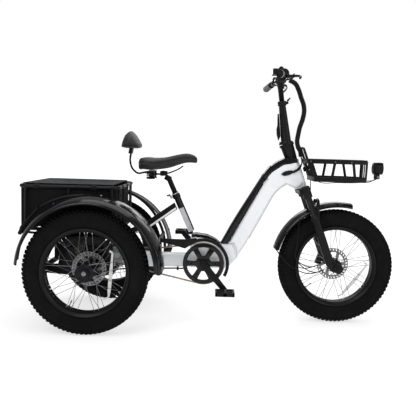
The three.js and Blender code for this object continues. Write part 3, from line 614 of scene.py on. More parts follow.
def spoke_strip(centre, start, finish, y):
    """A pale reflector strip clipped over the spokes, with a folded clip at its lower end."""
    cx, _, cz = centre
    middle = (start[0] * 0.55 + finish[0] * 0.45, start[1] * 0.52 + finish[1] * 0.48)
    path = spline([(cx + x, y, cz + z) for x, z in (start, middle, finish)], 14)
    grow = np.interp(np.linspace(0, 1, 14), [0, 0.15, 0.5, 0.85, 1], [0.8, 0.8, 1.5, 1.3, 0.7])
    strip = sweep(path, rounded_bar(12, 3, 1.2), up=LEFT, grow=grow)
    tail = np.array([path[-1], path[-1] + [-13, 0, -9], path[-1] + [-24, 0, -12]])
    clip = sweep(tail, rounded_bar(7, 4, 1.5), up=LEFT)
    head = sweep([path[0], path[0] + [-14, 0, 8]], rounded_bar(9, 5, 1.5), up=LEFT)
    return [strip, clip, head]


def rotor_shapes(centre):
    """A brake disc: an outer band with slanted slots, and six curved arms to the centre."""
    cx, cy, cz = centre
    slots = []
    for k in range(30):
        a = k * 12
        slots.append(arc(cx, cz, 70, a, a + 4.5, 2) + arc(cx, cz, 79, a + 8, a + 3.5, 2))
    windows = [arc(cx, cz, 62, 60 * k + 12, 60 * k + 56, 6) + arc(cx, cz, 31, 60 * k + 34, 60 * k + 2, 4)
               for k in range(6)]
    hub_hole = arc(cx, cz, 22, 0, 342, 19)
    disc = plate(whole_ring(cx, cz, 83), cy - 1, cy + 1, 0.2, [hub_hole, *windows, *slots], 1)
    screws = [bolt(at, LEFT if cy > 0 else RIGHT, 3.2, 3.4) for at in in_ring(cx, cy, cz, 26, 6, 17)]
    return disc, screws


def wheel(body, centre, hub, strip, valve_angle):
    piece(f"{body}_tyre_tread", TYRE, body, *tyre_shape(centre), stands_for=body.replace("_wheel", "_tyre"),
          sharp=50)
    body_r, flange_r, half_width = hub
    spokes, nipples = spoke_shapes(centre, flange_r, half_width)
    piece(f"{body}_rim", BLACK_SATIN, body, rim_shape(centre), stands_for=body)
    piece(f"{body}_hub", DARK_ALLOY, body, hub_shape(centre, body_r, flange_r, half_width))
    piece(f"{body}_spokes", SPOKE, body, *spokes)
    piece(f"{body}_nipples", CHROME, body, *nipples)
    piece(f"{body}_valve", BOLT, body, valve(centre, valve_angle))
    piece(f"{body}_reflector_strip", REFLECTOR, body, *strip)


def rear_wheel(body, centre, side):
    wheel(body, centre, (27, 44, 42), spoke_strip(centre, (126, 96), (110, -112), centre[1] + side * 14), 205)
    cx, cy, cz = centre
    inner = cy - side * 42
    shaft = spun((cx, 0, cz), (0, side, 0), [(4, 0.8), (11.5, 1.5), (12, 5), (12, abs(inner))], 28)
    boss = spun((cx, cy, cz), (0, -side, 0), [(27, 42), (27, 52), (21, 60), (21, 76), (14, 84), (12, 90)], 32)
    cap = spun((cx, cy + side * 42, cz), (0, side, 0),
               [(24, 0), (24, 3), (15, 6), (12, 6), (12, 3), (8, 3)], 28)
    nut = spun((cx, cy + side * 44, cz), (0, side, 0), [(10.5, 0), (10.5, 5), (9, 6), (6.5, 6), (6, 3), (2, 3)],
               24)
    piece(f"{body}_shaft", BOLT, body, shaft, boss)
    piece(f"{body}_axle_end", DARK_ALLOY, body, cap)
    piece(f"{body}_axle_nut", STEEL, body, nut)
    disc, screws = rotor_shapes((cx, middle_y(body.replace("_wheel", "_rotor")), cz))
    piece(f"{body}_brake_disc", STEEL, body, disc, stands_for=body.replace("_wheel", "_rotor"))
    piece(f"{body}_disc_screws", BOLT, body, *screws)


def middle_y(node):
    """The middle of a CAD node's box across the bike, in millimetres."""
    low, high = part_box(node)
    return (low.y + high.y) * 500


rear_wheel("right_wheel", RIGHT_AXLE, -1)
rear_wheel("left_wheel", LEFT_AXLE, 1)
wheel("front_wheel", FRONT_AXLE, (18, 34, 36), spoke_strip(FRONT_AXLE, (168, 12), (46, -148), -12), 230)
front_disc, front_screws = rotor_shapes((FRONT_AXLE[0], middle_y("front_rotor"), FRONT_AXLE[2]))
piece("front_wheel_brake_disc", STEEL, "front_wheel", front_disc, stands_for="front_rotor")
piece("front_wheel_disc_screws", BOLT, "front_wheel", *front_screws)
piece("front_wheel_axle", BOLT, "front_wheel", rod(FRONT_AXLE + [0, -103, 0], FRONT_AXLE + [0, 103, 0], 5.8),
      spun(FRONT_AXLE + [0, 20, 0], LEFT, [(18, 0), (21, 4), (21, 30)], 28))

# ---- main frame --------------------------------------------------------------------------
# The CAD nodes that stay, by material and by how far their edges are softened, in millimetres.
for material, soften, nodes in (
    (WHITE, 2.5, "down_tube lower_frame"),
    (BLACK_GLOSS, 2, "battery_cover"),
    (PLASTIC, 2, "battery_pack display"),
    (WHITE, 0, "seat_tube"),
    (BLACK_SATIN, 2, "upper_stay"),
    (BLACK_SATIN, 0.8, "axle_carrier"),
    (DARK_ALLOY, 2, "controller_box right_caliper left_caliper front_caliper"),
    (DARK_ALLOY, 1, "differential stem_lever seat_lever"),
    (BLACK_SATIN, 0, "seatpost handlebar"),
    (BLACK_SATIN, 1, "left_crank right_crank stem_post fork_lowers"),
    (BLACK_SATIN, 1.5, "fork_crown stem_base"),
    (DARK_ALLOY, 1.5, "fold_latch drive_motor"),
    (PLASTIC, 1.5, "throttle"),
):
    for node in nodes.split():
        keep(node, material, soften)


# ---- rear fenders, hoops and basket --------------------------------------------------------
FENDER_CENTRE = np.array([10, 0, 301])
HOOP_PATH = [(-331, 460), (-322, 486), (-300, 515), (-240, 580), (-140, 629), (-18, 645), (105, 628),
             (205, 568), (275, 480), (308, 400), (321, 305)]


def rear_fender(side):
    profile = [(350.5, 268), (351, 280), (350, 305), (345, 340), (336, 375), (325, 397), (318, 402),
               (314, 401.5), (313, 399), (318, 396), (330, 374), (341.5, 340), (346.6, 305), (347.6, 280),
               (347, 268)]
    profile = [(r, side * y) for r, y in profile]
    shell = spun(FENDER_CENTRE, LEFT, profile, 96, closed=True, start=-175.0, turn=174.2)
    nose = rod((336, side * 268, 302), (336, side * 318, 302), 20, edge=4)
    rivets = [spun(FENDER_CENTRE + [350.5 * sin(a), side * 284, 350.5 * cos(a)],
                   (sin(a), 0, cos(a)), [(6, -1), (6, 1.2), (3.5, 3), (0.5, 3.4)], 14)
              for a in np.radians([-62, -30, 8, 42, 70])]
    name = SIDE_NAME[side]
    piece(f"{name}_fender_shell", BLACK_GLOSS, "frame", shell, nose, stands_for=f"{name}_fender", sharp=60)
    piece(f"{name}_fender_rivets", BOLT, "frame", *rivets)


for side in (-1, 1):
    rear_fender(side)
HOOP_FRONT_END = [(8, 0), (10, 3), (11.5, 9), (11.2, 15), (8, 20), (3, 22)]
HOOP_REAR_END = [(8, -3), (9.4, 0), (9.4, 6), (7, 9), (3, 10)]
hoop_shapes = []
for y in (-262, 262):
    path = spline([(x, y, z) for x, z in HOOP_PATH], 60)
    hoop_shapes.append(sweep(path, circle(8, 14)))
    hoop_shapes.append(spun((321, y, 312), (0.08, 0, -1), HOOP_FRONT_END, 20))
    hoop_shapes.append(spun((-331, y, 460), (-0.35, 0, -1), HOOP_REAR_END, 18))
cross_bars = [rod((-331, -269, 460), (-331, 269, 460), 9), rod((308, -262, 400), (308, 262, 400), 10),
              block((298, -18, 339), (322, 18, 399), 3), block((280, -88, 377), (304, -70, 403), 3),
              rod((-331, -215, 458), (-233, -215, 450), 6), rod((-331, 215, 458), (-233, 215, 450), 6)]
piece("fender_hoops", BLACK_SATIN, "frame", *hoop_shapes, *cross_bars, stands_for="fender_frame")
tabs = []
for side in (-1, 1):
    for x, z, a in ((-240, 580, -42), (-18, 645, 0), (205, 568, 36), (308, 400, 72)):
        s, c = sin(radians(a)), cos(radians(a))
        tab_path = np.array([(x, side * 262, z), (x + s * 6, side * 270, z + c * 6),
                             (x + s * 6, side * 286, z + c * 5)])
        tabs.append(sweep(tab_path, rounded_bar(16, 2.6, 1), up=(s, 0, c)))
piece("fender_tabs", BLACK_SATIN, "frame", *tabs)


def level_loop(low_x, high_x, half_width, z, corner):
    corners = [(low_x, -half_width, z), (high_x, -half_width, z), (high_x, half_width, z),
               (low_x, half_width, z)]
    return rounded_path(corners, corner, True, 8)


def rear_basket():
    low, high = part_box("rear_basket")
    y = (high.y * 1000) - 9
    rear, front = (low.x - REAR_X) * 1000 + 9, (high.x - REAR_X) * 1000 - 9
    top, bottom = high.z * 1000 - 9, low.z * 1000 + 8
    rails = [sweep(level_loop(rear, front, y, top, 42), circle(9, 14), True),
             sweep(level_loop(rear, front, y, bottom, 36), circle(8, 12), True)]
    wires = [tube([(x, -y, bottom), (x, y, bottom)], 3.2, sides=8)
             for x in np.linspace(rear + 40, front - 40, 9)]
    posts = [rod((x, s * y, bottom), (x, s * y, top), 6) for x in (rear + 30, -105, front - 30)
             for s in (-1, 1)]
    floor_bars = [rod((x, -y, bottom), (x, y, bottom), 6) for x in (-222, -80, 80)]
    bars = [tube([(x, s, bottom + 4), (x, s, top - 4)], 4.2, sides=10)
            for x in (rear, front) for s in (-203, -178, -153, -70, -35, 0, 35, 70, 153, 178, 203)]
    piece("basket_frame", BLACK_SATIN, "frame", *rails, *posts, *floor_bars, stands_for="rear_basket")
    piece("basket_wires", BLACK_SATIN, "frame", *wires, *bars)


rear_basket()

# ---- cargo bag and its lid ------------------------------------------------------------------
def hollow_bag():
    """A fabric liner that sags between the basket's rails, with folds down its walls."""
    low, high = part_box("cargo_bag")
    x0, x1 = (low.x - REAR_X) * 1000, (high.x - REAR_X) * 1000
    y1, z0, z1 = high.y * 1000, low.z * 1000, high.z * 1000
    loop = rounded_path([(x0, -y1, 0), (x1, -y1, 0), (x1, y1, 0), (x0, y1, 0)], 26, True, 6)
    around = spline(np.vstack([loop, loop[:1]]), 221)[:-1]
    centre = np.array([(x0 + x1) / 2, 0, 0])
    heights = np.linspace(0, 1, 15)
    n = len(around)
    walls = []
    travelled = np.linspace(0, 1, n, endpoint=False) * 2 * pi
    for inner in (0, 1):
        rows = []
        for h in heights:
            wave = (2.2 * np.sin(travelled * 13 + 2 * h) * sin(pi * h)
                    + 1.5 * np.sin(travelled * 29 + 5 * h) * (1 - h))
            belly = 3.5 * sin(pi * min(1, h * 1.15))
            draw = 1 - (8 * (1 - h) ** 3 + belly + 2.2 + inner * 3) / 235
            outward = np.linalg.norm(around - centre, axis=1)[:, None]
            ring = centre + (around - centre) * draw + wave[:, None] * 0.5 * (around - centre) / outward
            ring[:, 2] = z0 + 3 * inner + (z1 + 14 - z0) * h - 2.5 * (h > 0.95) * np.sin(travelled * 8) ** 2
            rows.append(ring)
        walls.append(rows[::-1] if inner else rows)
    return loft(walls[0] + walls[1])


def bag_lid():
    """The lid: a cloth sheet that sags inside the rim, with a rolled hem."""
    low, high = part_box("bag_lid")
    x0, x1 = (low.x - REAR_X) * 1000 + 1, (high.x - REAR_X) * 1000 - 1
    y1, z = high.y * 1000 - 1, low.z * 1000
    nx, ny = 56, 60
    rows = []
    rng = np.random.default_rng(7)
    bumps = [(rng.uniform(x0, x1), rng.uniform(-y1, y1), rng.uniform(40, 110), rng.uniform(-2.2, 2.2))
             for _ in range(26)]
    for thick in (4.2, 1.6):
        grid = np.zeros((nx + 1, ny + 1, 3))
        for i, x in enumerate(np.linspace(x0, x1, nx + 1)):
            for j, y in enumerate(np.linspace(-y1, y1, ny + 1)):
                u, v = (x - x0) / (x1 - x0), (y + y1) / (2 * y1)
                edge = min(u, 1 - u, v, 1 - v)
                sag = -30 * (sin(pi * u) * sin(pi * v)) ** 0.7
                wrinkle = sum(h * exp(-((x - bx) ** 2 + (y - by) ** 2) / (r * r))
                              for bx, by, r, h in bumps)
                pull = (1.6 * cos(v * 9 * pi) * exp(-min(u, 1 - u) * 9)
                        + 1.6 * cos(u * 7 * pi) * exp(-min(v, 1 - v) * 9))
                keep_flat = min(1, edge * 14)
                grid[i, j] = (x, y, z + thick + (sag + wrinkle + pull) * keep_flat)
        rows.append(grid)
    top, under = rows
    n = (nx + 1) * (ny + 1)
    points = np.concatenate([top.reshape(-1, 3), under.reshape(-1, 3)])

    def at(i, j):
        return i * (ny + 1) + j

    faces = []
    for i in range(nx):
        for j in range(ny):
            quad = (at(i, j), at(i + 1, j), at(i + 1, j + 1), at(i, j + 1))
            faces += [quad, tuple(n + q for q in reversed(quad))]
    border = ([at(i, 0) for i in range(nx)] + [at(nx, j) for j in range(ny)]
              + [at(i, ny) for i in range(nx, 0, -1)] + [at(0, j) for j in range(ny, 0, -1)])
    for a, b in zip(border, border[1:] + border[:1]):
        faces.append((b, a, n + a, n + b))
    corners = [(x0 + 2, -y1 + 2), (x1 - 2, -y1 + 2), (x1 - 2, y1 - 2), (x0 + 2, y1 - 2)]
    hem_path = rounded_path([(x, y, z + 3) for x, y in corners], 14, True, 5)
    hem = sweep(hem_path, rounded_bar(7, 4.5, 2), True, up=UP)
    return (points, faces), hem


def strap_ring(x, y, outward):
    """A webbing loop round the basket's top rail; outward is the level direction across the rail."""
    ring = [(x + STRAP_R * sin(a) * outward[0], y + STRAP_R * sin(a) * outward[1],
             RAIL_Z + STRAP_R * cos(a)) for a in np.linspace(0, 2 * pi, 18, endpoint=False)]
    return sweep(ring, rounded_bar(2.2, 24, 1), True, up=(outward[1], outward[0], 0))


RAIL_Z = 682
STRAP_R = 10.4
piece("cargo_bag_liner", BAG, "frame", hollow_bag(), stands_for="cargo_bag", sharp=180)
lid_sheet, lid_hem = bag_lid()
lid = piece("cargo_lid_sheet", LID, "bag_lid", lid_sheet, stands_for="bag_lid", sharp=180)
hem = piece("cargo_lid_hem", STRAP, "bag_lid", lid_hem, slot="lid_fabric")
loops = [strap_ring(x, side * 243, (0, 1)) for x in (-258, 16) for side in (-1, 1)]
loops += [strap_ring(x, y, (1, 0)) for y in (-140, 0, 140) for x in (-340, 130)]
piece("bag_rim_straps", STRAP, "frame", *loops, slot="bag_fabric")

# ---- saddle, backrest and springs -----------------------------------------------------------
def saddle_shape():
    """The saddle, as rings of a crowned section along its length."""
    stations = [(202, 60, 794, 20), (208, 88, 800, 26), (222, 107, 803, 27), (245, 117, 803, 29),
                (275, 115, 801, 29),
                (305, 99, 803, 28), (335, 74, 806, 28), (365, 55, 812, 29), (400, 43, 822, 28),
                (440, 36, 830, 25),
                (470, 32, 829, 22), (488, 25, 824, 18), (498, 14, 819, 12)]
    rings = []
    steps = 28
    for x, half, z, rise in stations:
        depth = np.interp(x, [210, 320, 420], [1.3, 1.15, 0.95])
        ring = []
        for a in np.linspace(0, 2 * pi, steps, endpoint=False):
            c, s = cos(a), sin(a)
            y = half * np.sign(c) * abs(c) ** 0.62
            up = rise * (s if s > 0 else -depth * abs(s) ** 0.75)
            dish = -3.2 * exp(-(y / 13) ** 2) if s > 0.3 and x < 420 else 0
            ring.append((x, y, z + up + dish))
        rings.append(ring)
    rings = np.array(rings)
    dense = np.array([spline(rings[:, k], 34) for k in range(steps)]).transpose(1, 0, 2)
    return loft(dense), dense[1:-1, 1]


saddle_body, saddle_seam = saddle_shape()
saddle = piece("saddle_cushion", SADDLE, "seat", saddle_body, stands_for="saddle", sharp=180, smooth=1)
far_seam = saddle_seam * np.array([1, -1, 1])
piece("saddle_piping", STRAP, "seat", sweep(saddle_seam, circle(1.6, 8)), sweep(far_seam, circle(1.6, 8)),
      slot="saddle_cover")


def backrest_shape():
    """The backrest pad: a rounded triangle in side view, wider at its foot."""
    outline = [(112, 878), (115, 898), (121, 920), (131, 942), (143, 956), (157, 961), (172, 952), (187, 933),
               (200, 909), (208, 889), (204, 878), (192, 874), (160, 874), (130, 874)]
    smooth_outline = spline(np.array([(x, 0, z) for x, z in outline + outline[:1]]), 45)[:-1][:, [0, 2]]
    middle_x, middle_z, half = 158, 902, 119
    rings = []
    for v in np.linspace(-1, 1, 33):
        y = half * sin(v * pi / 2)
        q = abs(y / half)
        draw = (1 - q ** 5) ** 0.5 * (1 - 0.08 * q)
        top_drop = 1 - 0.30 * q ** 2.2
        ring = []
        for x, z in smooth_outline:
            height = 876 + (z - 876) * top_drop
            ring.append((middle_x + (x - middle_x) * max(draw, 0.05), y,
                         middle_z + (height - middle_z) * max(draw, 0.05)))
        rings.append(ring)
    rings = np.array(rings)
    return loft(rings), rings


backrest_body, backrest_rings = backrest_shape()
backrest = piece("backrest_cushion", SADDLE, "seat", backrest_body, stands_for="backrest_pad",
                 sharp=180, smooth=1)
seam_path = backrest_rings[2:-2, 10]
piece("backrest_piping", STRAP, "seat", sweep(seam_path, circle(1.5, 8)), slot="saddle_cover")

coils = []
for y in (-58, 58):
    turns = [(264 + 19 * cos(a), y + 19 * sin(a), 726 + 34 * a / (9 * pi)) for a in np.linspace(0, 9 * pi, 150)]
    coils.append(sweep(turns, circle(2.6, 8)))
    coils.append(rod((265, y, 722), (265, y, 727), 22, edge=1))
    coils.append(rod((263, y, 758), (263, y, 762), 22, edge=1))
rails = []
for side in (-1, 1):
    rails.append(tube([(232, side * 28, 757), (262, side * 30, 748), (300, side * 28, 745),
                       (340, side * 22, 749),
                       (372, side * 14, 760), (405, side * 9, 776), (425, side * 7, 790)], 3.6, 40, 10))
rod_path = [(272, 0, 743), (228, 0, 752), (193, 0, 747), (164, 0, 770), (152, 0, 806), (154, 0, 842),
            (164, 0, 882)]
clamp_point = SEAT_FOOT + SEAT_AXIS * 322
clamp = [rod((322, -34, 750), (322, 34, 750), 13), rod((270, -72, 743), (270, 72, 743), 6),
         block((308, -24, 738), (344, 24, 762), 4), bolt((322, -34, 750), RIGHT, 7, 5),
         bolt((322, 34, 750), LEFT, 7, 5),
         rod(clamp_point - SEAT_AXIS * 12, clamp_point, 15.4)]
piece("saddle_springs", BLACK_GLOSS, "seat", *coils)
piece("saddle_frame", BLACK_SATIN, "seat", *rails, *clamp, tube(rod_path, 5, 60, 12),
      block((147, -26, 846), (165, 26, 880), 4, ("Y", 10)), stands_for="saddle_rails")

# ---- chain, chainring, guard and pedals ------------------------------------------------------
CHAIN_PITCH = 12.7


def chain_path():
    """The pin centres, an even number of links round the cog and the chainring."""
    loop = (arc(COGS[0], COGS[2], 32.4, 258, 90, 16) + [(292, 370)]
            + arc(CRANK[0], CRANK[2], 104.6, 98, -102, 40))
    p = np.array(loop + loop[:1], float)
    t = np.concatenate([[0], np.cumsum(np.linalg.norm(np.diff(p, axis=0), axis=1))])
    links = int(round(t[-1] / CHAIN_PITCH / 2)) * 2
    s = np.linspace(0, t[-1], links, endpoint=False)
    return np.stack([np.interp(s, t, p[:, 0]), np.interp(s, t, p[:, 1])], 1)


def chain_shapes():
    pins = chain_path()
    y = middle_y("drive_chain")
    plates, rollers = [], []
    for k, (a, b) in enumerate(zip(pins, np.roll(pins, -1, 0))):
        angle = degrees(atan2(b[1] - a[1], b[0] - a[0]))
        outline = (arc(b[0], b[1], 3.6, angle - 90, angle + 90, 4)
                   + arc(a[0], a[1], 3.6, angle + 90, angle + 270, 4))
        near, far = (2.1, 3.1) if k % 2 else (1.1, 2.1)
        for s in (-1, 1):
            plates.append(plate(outline, y + min(s * near, s * far), y + max(s * near, s * far), 0.25,
                                resolution=0))
        rollers.append(rod((a[0], y - 3.4, a[1]), (a[0], y + 3.4, a[1]), 1.9, sides=8, edge=0.3))
        rollers.append(rod((a[0], y - 1.3, a[1]), (a[0], y + 1.3, a[1]), 3.3, sides=8, edge=0.3))
    return plates, rollers


chain_plates, chain_rollers = chain_shapes()
piece("chain_plates", CHAIN, "frame", *chain_plates, stands_for="drive_chain", sharp=30)
piece("chain_rollers", BOLT, "frame", *chain_rollers, sharp=30)


def toothed(x, z, root, tip, teeth, start=0.0):
    outline = []
    for k in range(teeth):
        a = start + 360 * k / teeth
        w = 360 / teeth
        outline += [(x + r * cos(radians(a + f * w)), z + r * sin(radians(a + f * w)))
                    for r, f in ((root, 0.0), (root, 0.3), (tip, 0.55), (tip, 0.75), (root, 0.98))]
    return outline


ring_y = middle_y("chainring")
windows = [rounded_path(np.array([(x, 0, z) for x, z in arc(CRANK[0], CRANK[2], 84, 60 * k + 10, 60 * k + 50, 6)
                                  + arc(CRANK[0], CRANK[2], 40, 60 * k + 42, 60 * k + 18, 3)]), 6, True,
                        3)[:, [0, 2]]
           for k in range(6)]
piece("chainring_disc", BLACK_GLOSS, "crank",
      plate(toothed(CRANK[0], CRANK[2], 98, 101.5, 52), ring_y - 1.8, ring_y + 1.8, 0.5, windows, 1),
      plate(whole_ring(CRANK[0], CRANK[2], 104.5), ring_y - 6.6, ring_y - 4.2, 0.8,
            [whole_ring(CRANK[0], CRANK[2], 84)], 2),
      *[rod(a, b, 4) for a, b in zip(in_ring(CRANK[0], ring_y - 4.4, CRANK[2], 89, 6),
                                     in_ring(CRANK[0], ring_y - 1.6, CRANK[2], 89, 6))],
      stands_for="chainring")
ring_bolts = [bolt(at, RIGHT, 5, 3.5) for at in in_ring(CRANK[0], ring_y - 1.5, CRANK[2], 62, 6)]
piece("chainring_bolts", DARK_ALLOY, "crank", *ring_bolts, bolt((CRANK[0], -112, CRANK[2]), RIGHT, 11, 3))

cog_shapes = []
for k in range(7):
    y = -80 - 1.2 + 5.2 * k
    root = 25.5 + 3 * k
    hole = arc(COGS[0], COGS[2], root - 9, 0, 342, 19)
    teeth = toothed(COGS[0], COGS[2], root, root + 3.4, 14 + 2 * k, 7 * k)
    cog_shapes.append(plate(teeth, y + 0.3, y + 2.6, 0.3, [hole], 0))
cog_shapes.append(spun((COGS[0], -81, COGS[2]), LEFT, [(11.5, 0), (17, 0), (19, 3), (19, 37), (11.5, 37)], 28))
piece("cassette_cogs", COG, "cassette", *cog_shapes, stands_for="cassette", sharp=30)

guard_outline = ([(322, 427), (380, 424), (450, 424), (500, 432)] + arc(CRANK[0], CRANK[2], 131.4, 105, -29, 34)
                 + arc(CRANK[0], CRANK[2], 114.4, -29, 125, 38) + [(448, 376), (390, 392), (322, 406)])
guard_shape = plate(guard_outline, -94, -88, 2.2)
rib_outline = arc(CRANK[0], CRANK[2], 127, 92, -22, 30) + arc(CRANK[0], CRANK[2], 123.5, -22, 92, 30)
guard_rib = plate(rib_outline, -95.2, -93.6, 0.6)
posts = [rod((486, -90, 412), (486, -34.5, 412), 6), rod((628, -90, 390), (628, -34.5, 390), 6),
         bolt((628, -95, 390), RIGHT, 5, 2)]
piece("chain_guard_moulding", PLASTIC, "frame", guard_shape, guard_rib, *posts, stands_for="chain_guard")


def pedal(side):
    name = SIDE_NAME[side]
    cx, _, cz = mm(f"{name}_pedal_spin")
    low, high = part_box(f"{name}_pedal")
    inner = (low.y if side > 0 else high.y) * 1000
    y0 = inner + side * 8
    y1 = (high.y if side > 0 else low.y) * 1000
    a, b = min(y0, y1), max(y0, y1)
    shapes = [block((cx - 48, a, cz - 10), (cx - 37, b, cz + 10), 3),
              block((cx + 37, a, cz - 10), (cx + 48, b, cz + 10), 3),
              block((cx - 48, a, cz - 10), (cx + 48, a + 11, cz + 10), 3),
              block((cx - 48, b - 11, cz - 10), (cx + 48, b, cz + 10), 3),
              block((cx - 46, (a + b) / 2 - 5, cz - 8), (cx + 46, (a + b) / 2 + 5, cz + 8), 2.5),
              spun((cx, a, cz), LEFT, [(9, 0), (11, 3), (11, b - a - 4), (8, b - a)], 22)]
    pins = [spun((cx + x, y, cz + s * 9), (0, 0, s), [(2.2, 0), (2.2, 2), (1.2, 2.2)], 8)
            for x in (-42, 42) for y in np.linspace(a + 8, b - 8, 6) for s in (-1, 1)]
    axle = rod((cx, inner, cz), (cx, y0 + side * 6, cz), 6.6)
    piece(f"{name}_pedal_cage", PLASTIC, f"{name}_pedal", *shapes, stands_for=f"{name}_pedal")
    piece(f"{name}_pedal_pins", BOLT, f"{name}_pedal", *pins, axle)
    panels = [block((cx + x - 1, (a + b) / 2 - 16, cz - 4), (cx + x + 1, (a + b) / 2 + 16, cz + 4), 0.8)
              for x in (-47.4, 47.4)]
    piece(f"{name}_pedal_reflectors", REFLECTOR, f"{name}_pedal", *panels)


for side in (-1, 1):
    pedal(side)

# ---- front basket, headlight and fender ------------------------------------------------------
def front_basket():
    def rail(back_x, inset, z, height, corner):
        side, nose = 124 - inset, 1359 - inset
        plan = [(back_x, -side, z), (1268, -side, z), (nose, -66 + inset * 0.6, z),
                (nose, 66 - inset * 0.6, z), (1268, side, z), (back_x, side, z)]
        return sweep(rounded_path(plan, corner, True, 6), rounded_bar(4.5, height, 1.6), True, up=UP)

    def slat(top, foot, side):
        (tx, ty), (fx, fy) = top, foot
        path = np.array([(tx, side * ty, 838), ((tx + fx) / 2, side * (ty + fy) / 2, 790),
                         (fx, side * fy, 744)])
        out = np.array([0.0, side, 0.0]) if ty > 100 else np.array([0.75, side * 0.6, 0])
        return sweep(path, rounded_bar(14, 4, 1.6), up=tuple(out))

    def upright(y, z):
        """A point on the sloping back frame."""
        return (1092 - (z - 740) * 0.375, y, z)

    bars = [rail(1049, 4, 834.5, 22, 16), rail(1083, 5, 746, 24, 14)]
    for side in (-1, 1):
        bars += [slat(top, foot, side) for top, foot in (
            ((1062, 119), (1096, 118)), ((1180, 119), (1166, 118)), ((1270, 116), (1286, 104)),
            ((1354, 60), (1352, 58)))]
    for y in (-34, 0, 34):
        bars.append(sweep([(1356, y, 838), (1356, y, 790), (1354, y, 744)], rounded_bar(14, 4, 1.6), up=AHEAD))
    floor = [sweep([(1086, y, 741), (1210, y, 739), (1352 - max(0, abs(y) - 55) * 1.2, y, 741)],
                   rounded_bar(16, 3.6, 1.4), up=UP) for y in (-90, -60, -30, 0, 30, 60, 90)]
    floor += [sweep([(x, -117, 737.5), (x, 0, 737.5), (x, 117, 737.5)], rounded_bar(16, 3.6, 1.4), up=UP)
              for x in (1130, 1240)]
    back = [tube([upright(y, 742), upright(y, 800), upright(y, 884)], 6.4, sides=14) for y in (-50, 50)]
    arch = [upright(-50, 880), upright(-50, 894), upright(-36, 897), upright(36, 897), upright(50, 894),
            upright(50, 880)]
    back.append(tube(arch, 6.4, 24, 14))
    back += [rod(upright(-112, 744), upright(-112, 838), 5), rod(upright(112, 744), upright(112, 838), 5),
             rod(upright(-50, 800), upright(50, 800), 6.4), rod((1068, 0, 798), (1043, 0, 789), 12),
             block((1050, -30, 780), (1060, 30, 822), 3, ("Y", -20)),
             bolt((1062, -20, 806), (1, 0, 0.3), 5, 4), bolt((1062, 20, 806), (1, 0, 0.3), 5, 4)]
    strap = sweep([(1345, 0, 741), (1372, 0, 739), (1400, 0, 742), (1421, 0, 752)],
                  rounded_bar(4, 20, 1.4), up=LEFT)
    piece("front_basket_rails", BLACK_SATIN, "frame", *bars, *floor, *back, strap, stands_for="front_basket")
    knots = [bolt((1060 + 20 * k, s * 122, 834), (0, s, 0), 3.2, 2) for k in (0, 6, 10) for s in (-1, 1)]
    piece("front_basket_screws", BOLT, "frame", *knots)


front_basket()


def headlight():
    lx, _, lz = mm("headlight_tilt")
    beam_z = lz + 42
    front = (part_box("headlight")[1].x - REAR_X) * 1000
    shell = [(12, 0), (22, 1), (27, 6), (28, 20), (30, 42), (30, 49), (27.5, 50)]
    body = spun((lx - 24, 0, beam_z), AHEAD, shell, 40)
    hood_path = np.array([(lx - 14, 0, lz + 70), (lx + 14, 0, lz + 71.5), (front - 1, 0, lz + 68)])
    hood = sweep(hood_path, rounded_bar(5, 42, 2), up=LEFT)
    fin = [(29.5, 0), (30.6, 0.6), (30.6, 2), (29.5, 2.6)]
    fins = [spun((lx - 21 + 5.5 * k, 0, beam_z), AHEAD, fin, 40, closed=True) for k in range(3)]
    foot = block((lx - 9, -13, lz - 1), (lx + 9, 13, lz + 18), 3)
    ears = [block((lx - 11, s * 16 - 2.5, lz - 11), (lx + 11, s * 16 + 2.5, lz + 16), 2) for s in (-1, 1)]
    piece("headlight_body", PLASTIC, "headlight", body, hood, *fins, foot, *ears, stands_for="headlight")
    glass = spun((front - 3.4, 0, beam_z), AHEAD, [(26.5, 0), (26, 1.2), (14, 2.6), (0.5, 3)], 40)
    piece("headlight_lens", LAMP_LENS, "headlight", glass)
    ring = spun((front - 5, 0, beam_z), AHEAD, [(26.5, 0), (29.6, 0.5), (29.6, 3.6), (26.5, 4)], 40,
                closed=True)
    piece("headlight_bezel", BLACK_GLOSS, "headlight", ring, slot="black_plastic")
    piece("headlight_bolt", BOLT, "headlight", rod((lx, -22, lz), (lx, 22, lz), 4),
          bolt((lx, -21, lz), RIGHT, 6, 4),
          bolt((lx, 21, lz), LEFT, 6, 4))


headlight()


def front_fender():
    cx, _, cz = FRONT_AXLE
    curve = [(334, 0), (333.2, 16), (330.5, 34), (325, 48), (316, 57), (309, 58.5), (308, 56.5), (315, 54),
             (322, 45), (327, 33), (329.6, 16), (330.4, 0)]
    profile = curve + [(r, -y) for r, y in reversed(curve[1:-1])]
    start, end = 194.9, 282.4
    shell = spun((cx, 0, cz), LEFT, profile, 72, closed=True, start=start, turn=end - start)
    stays = []
    for s in (-1, 1):
        stays.append(tube([(cx - 200, s * 56, cz + 246), (cx - 206, s * 60, cz + 120),
                           (cx - 209, s * 60, cz + 34),
                           (cx - 190, s * 63, cz + 12), (cx - 110, s * 68, cz - 26),
                           (cx - 66, s * 71, cz - 13)], 2.6, 48, 10))
        stays.append(tube([(cx - 318, s * 50, cz + 88), (cx - 240, s * 60, cz + 4), (cx - 140, s * 67, cz - 34),
                           (cx - 66, s * 71, cz - 13)], 2.4, 40, 10))
    clip = [rod((cx - 128, 0, cz + 304), (cx - 117, 0, cz + 345), 5),
            bolt((cx - 119, 0, cz + 338), (-0.3, 0, 1), 6, 4)]
    piece("front_fender_shell", BLACK_GLOSS, "fork_slider", shell, stands_for="front_fender", sharp=60)
    piece("front_fender_stays", BLACK_SATIN, "fork_slider", *stays, *clip)


front_fender()

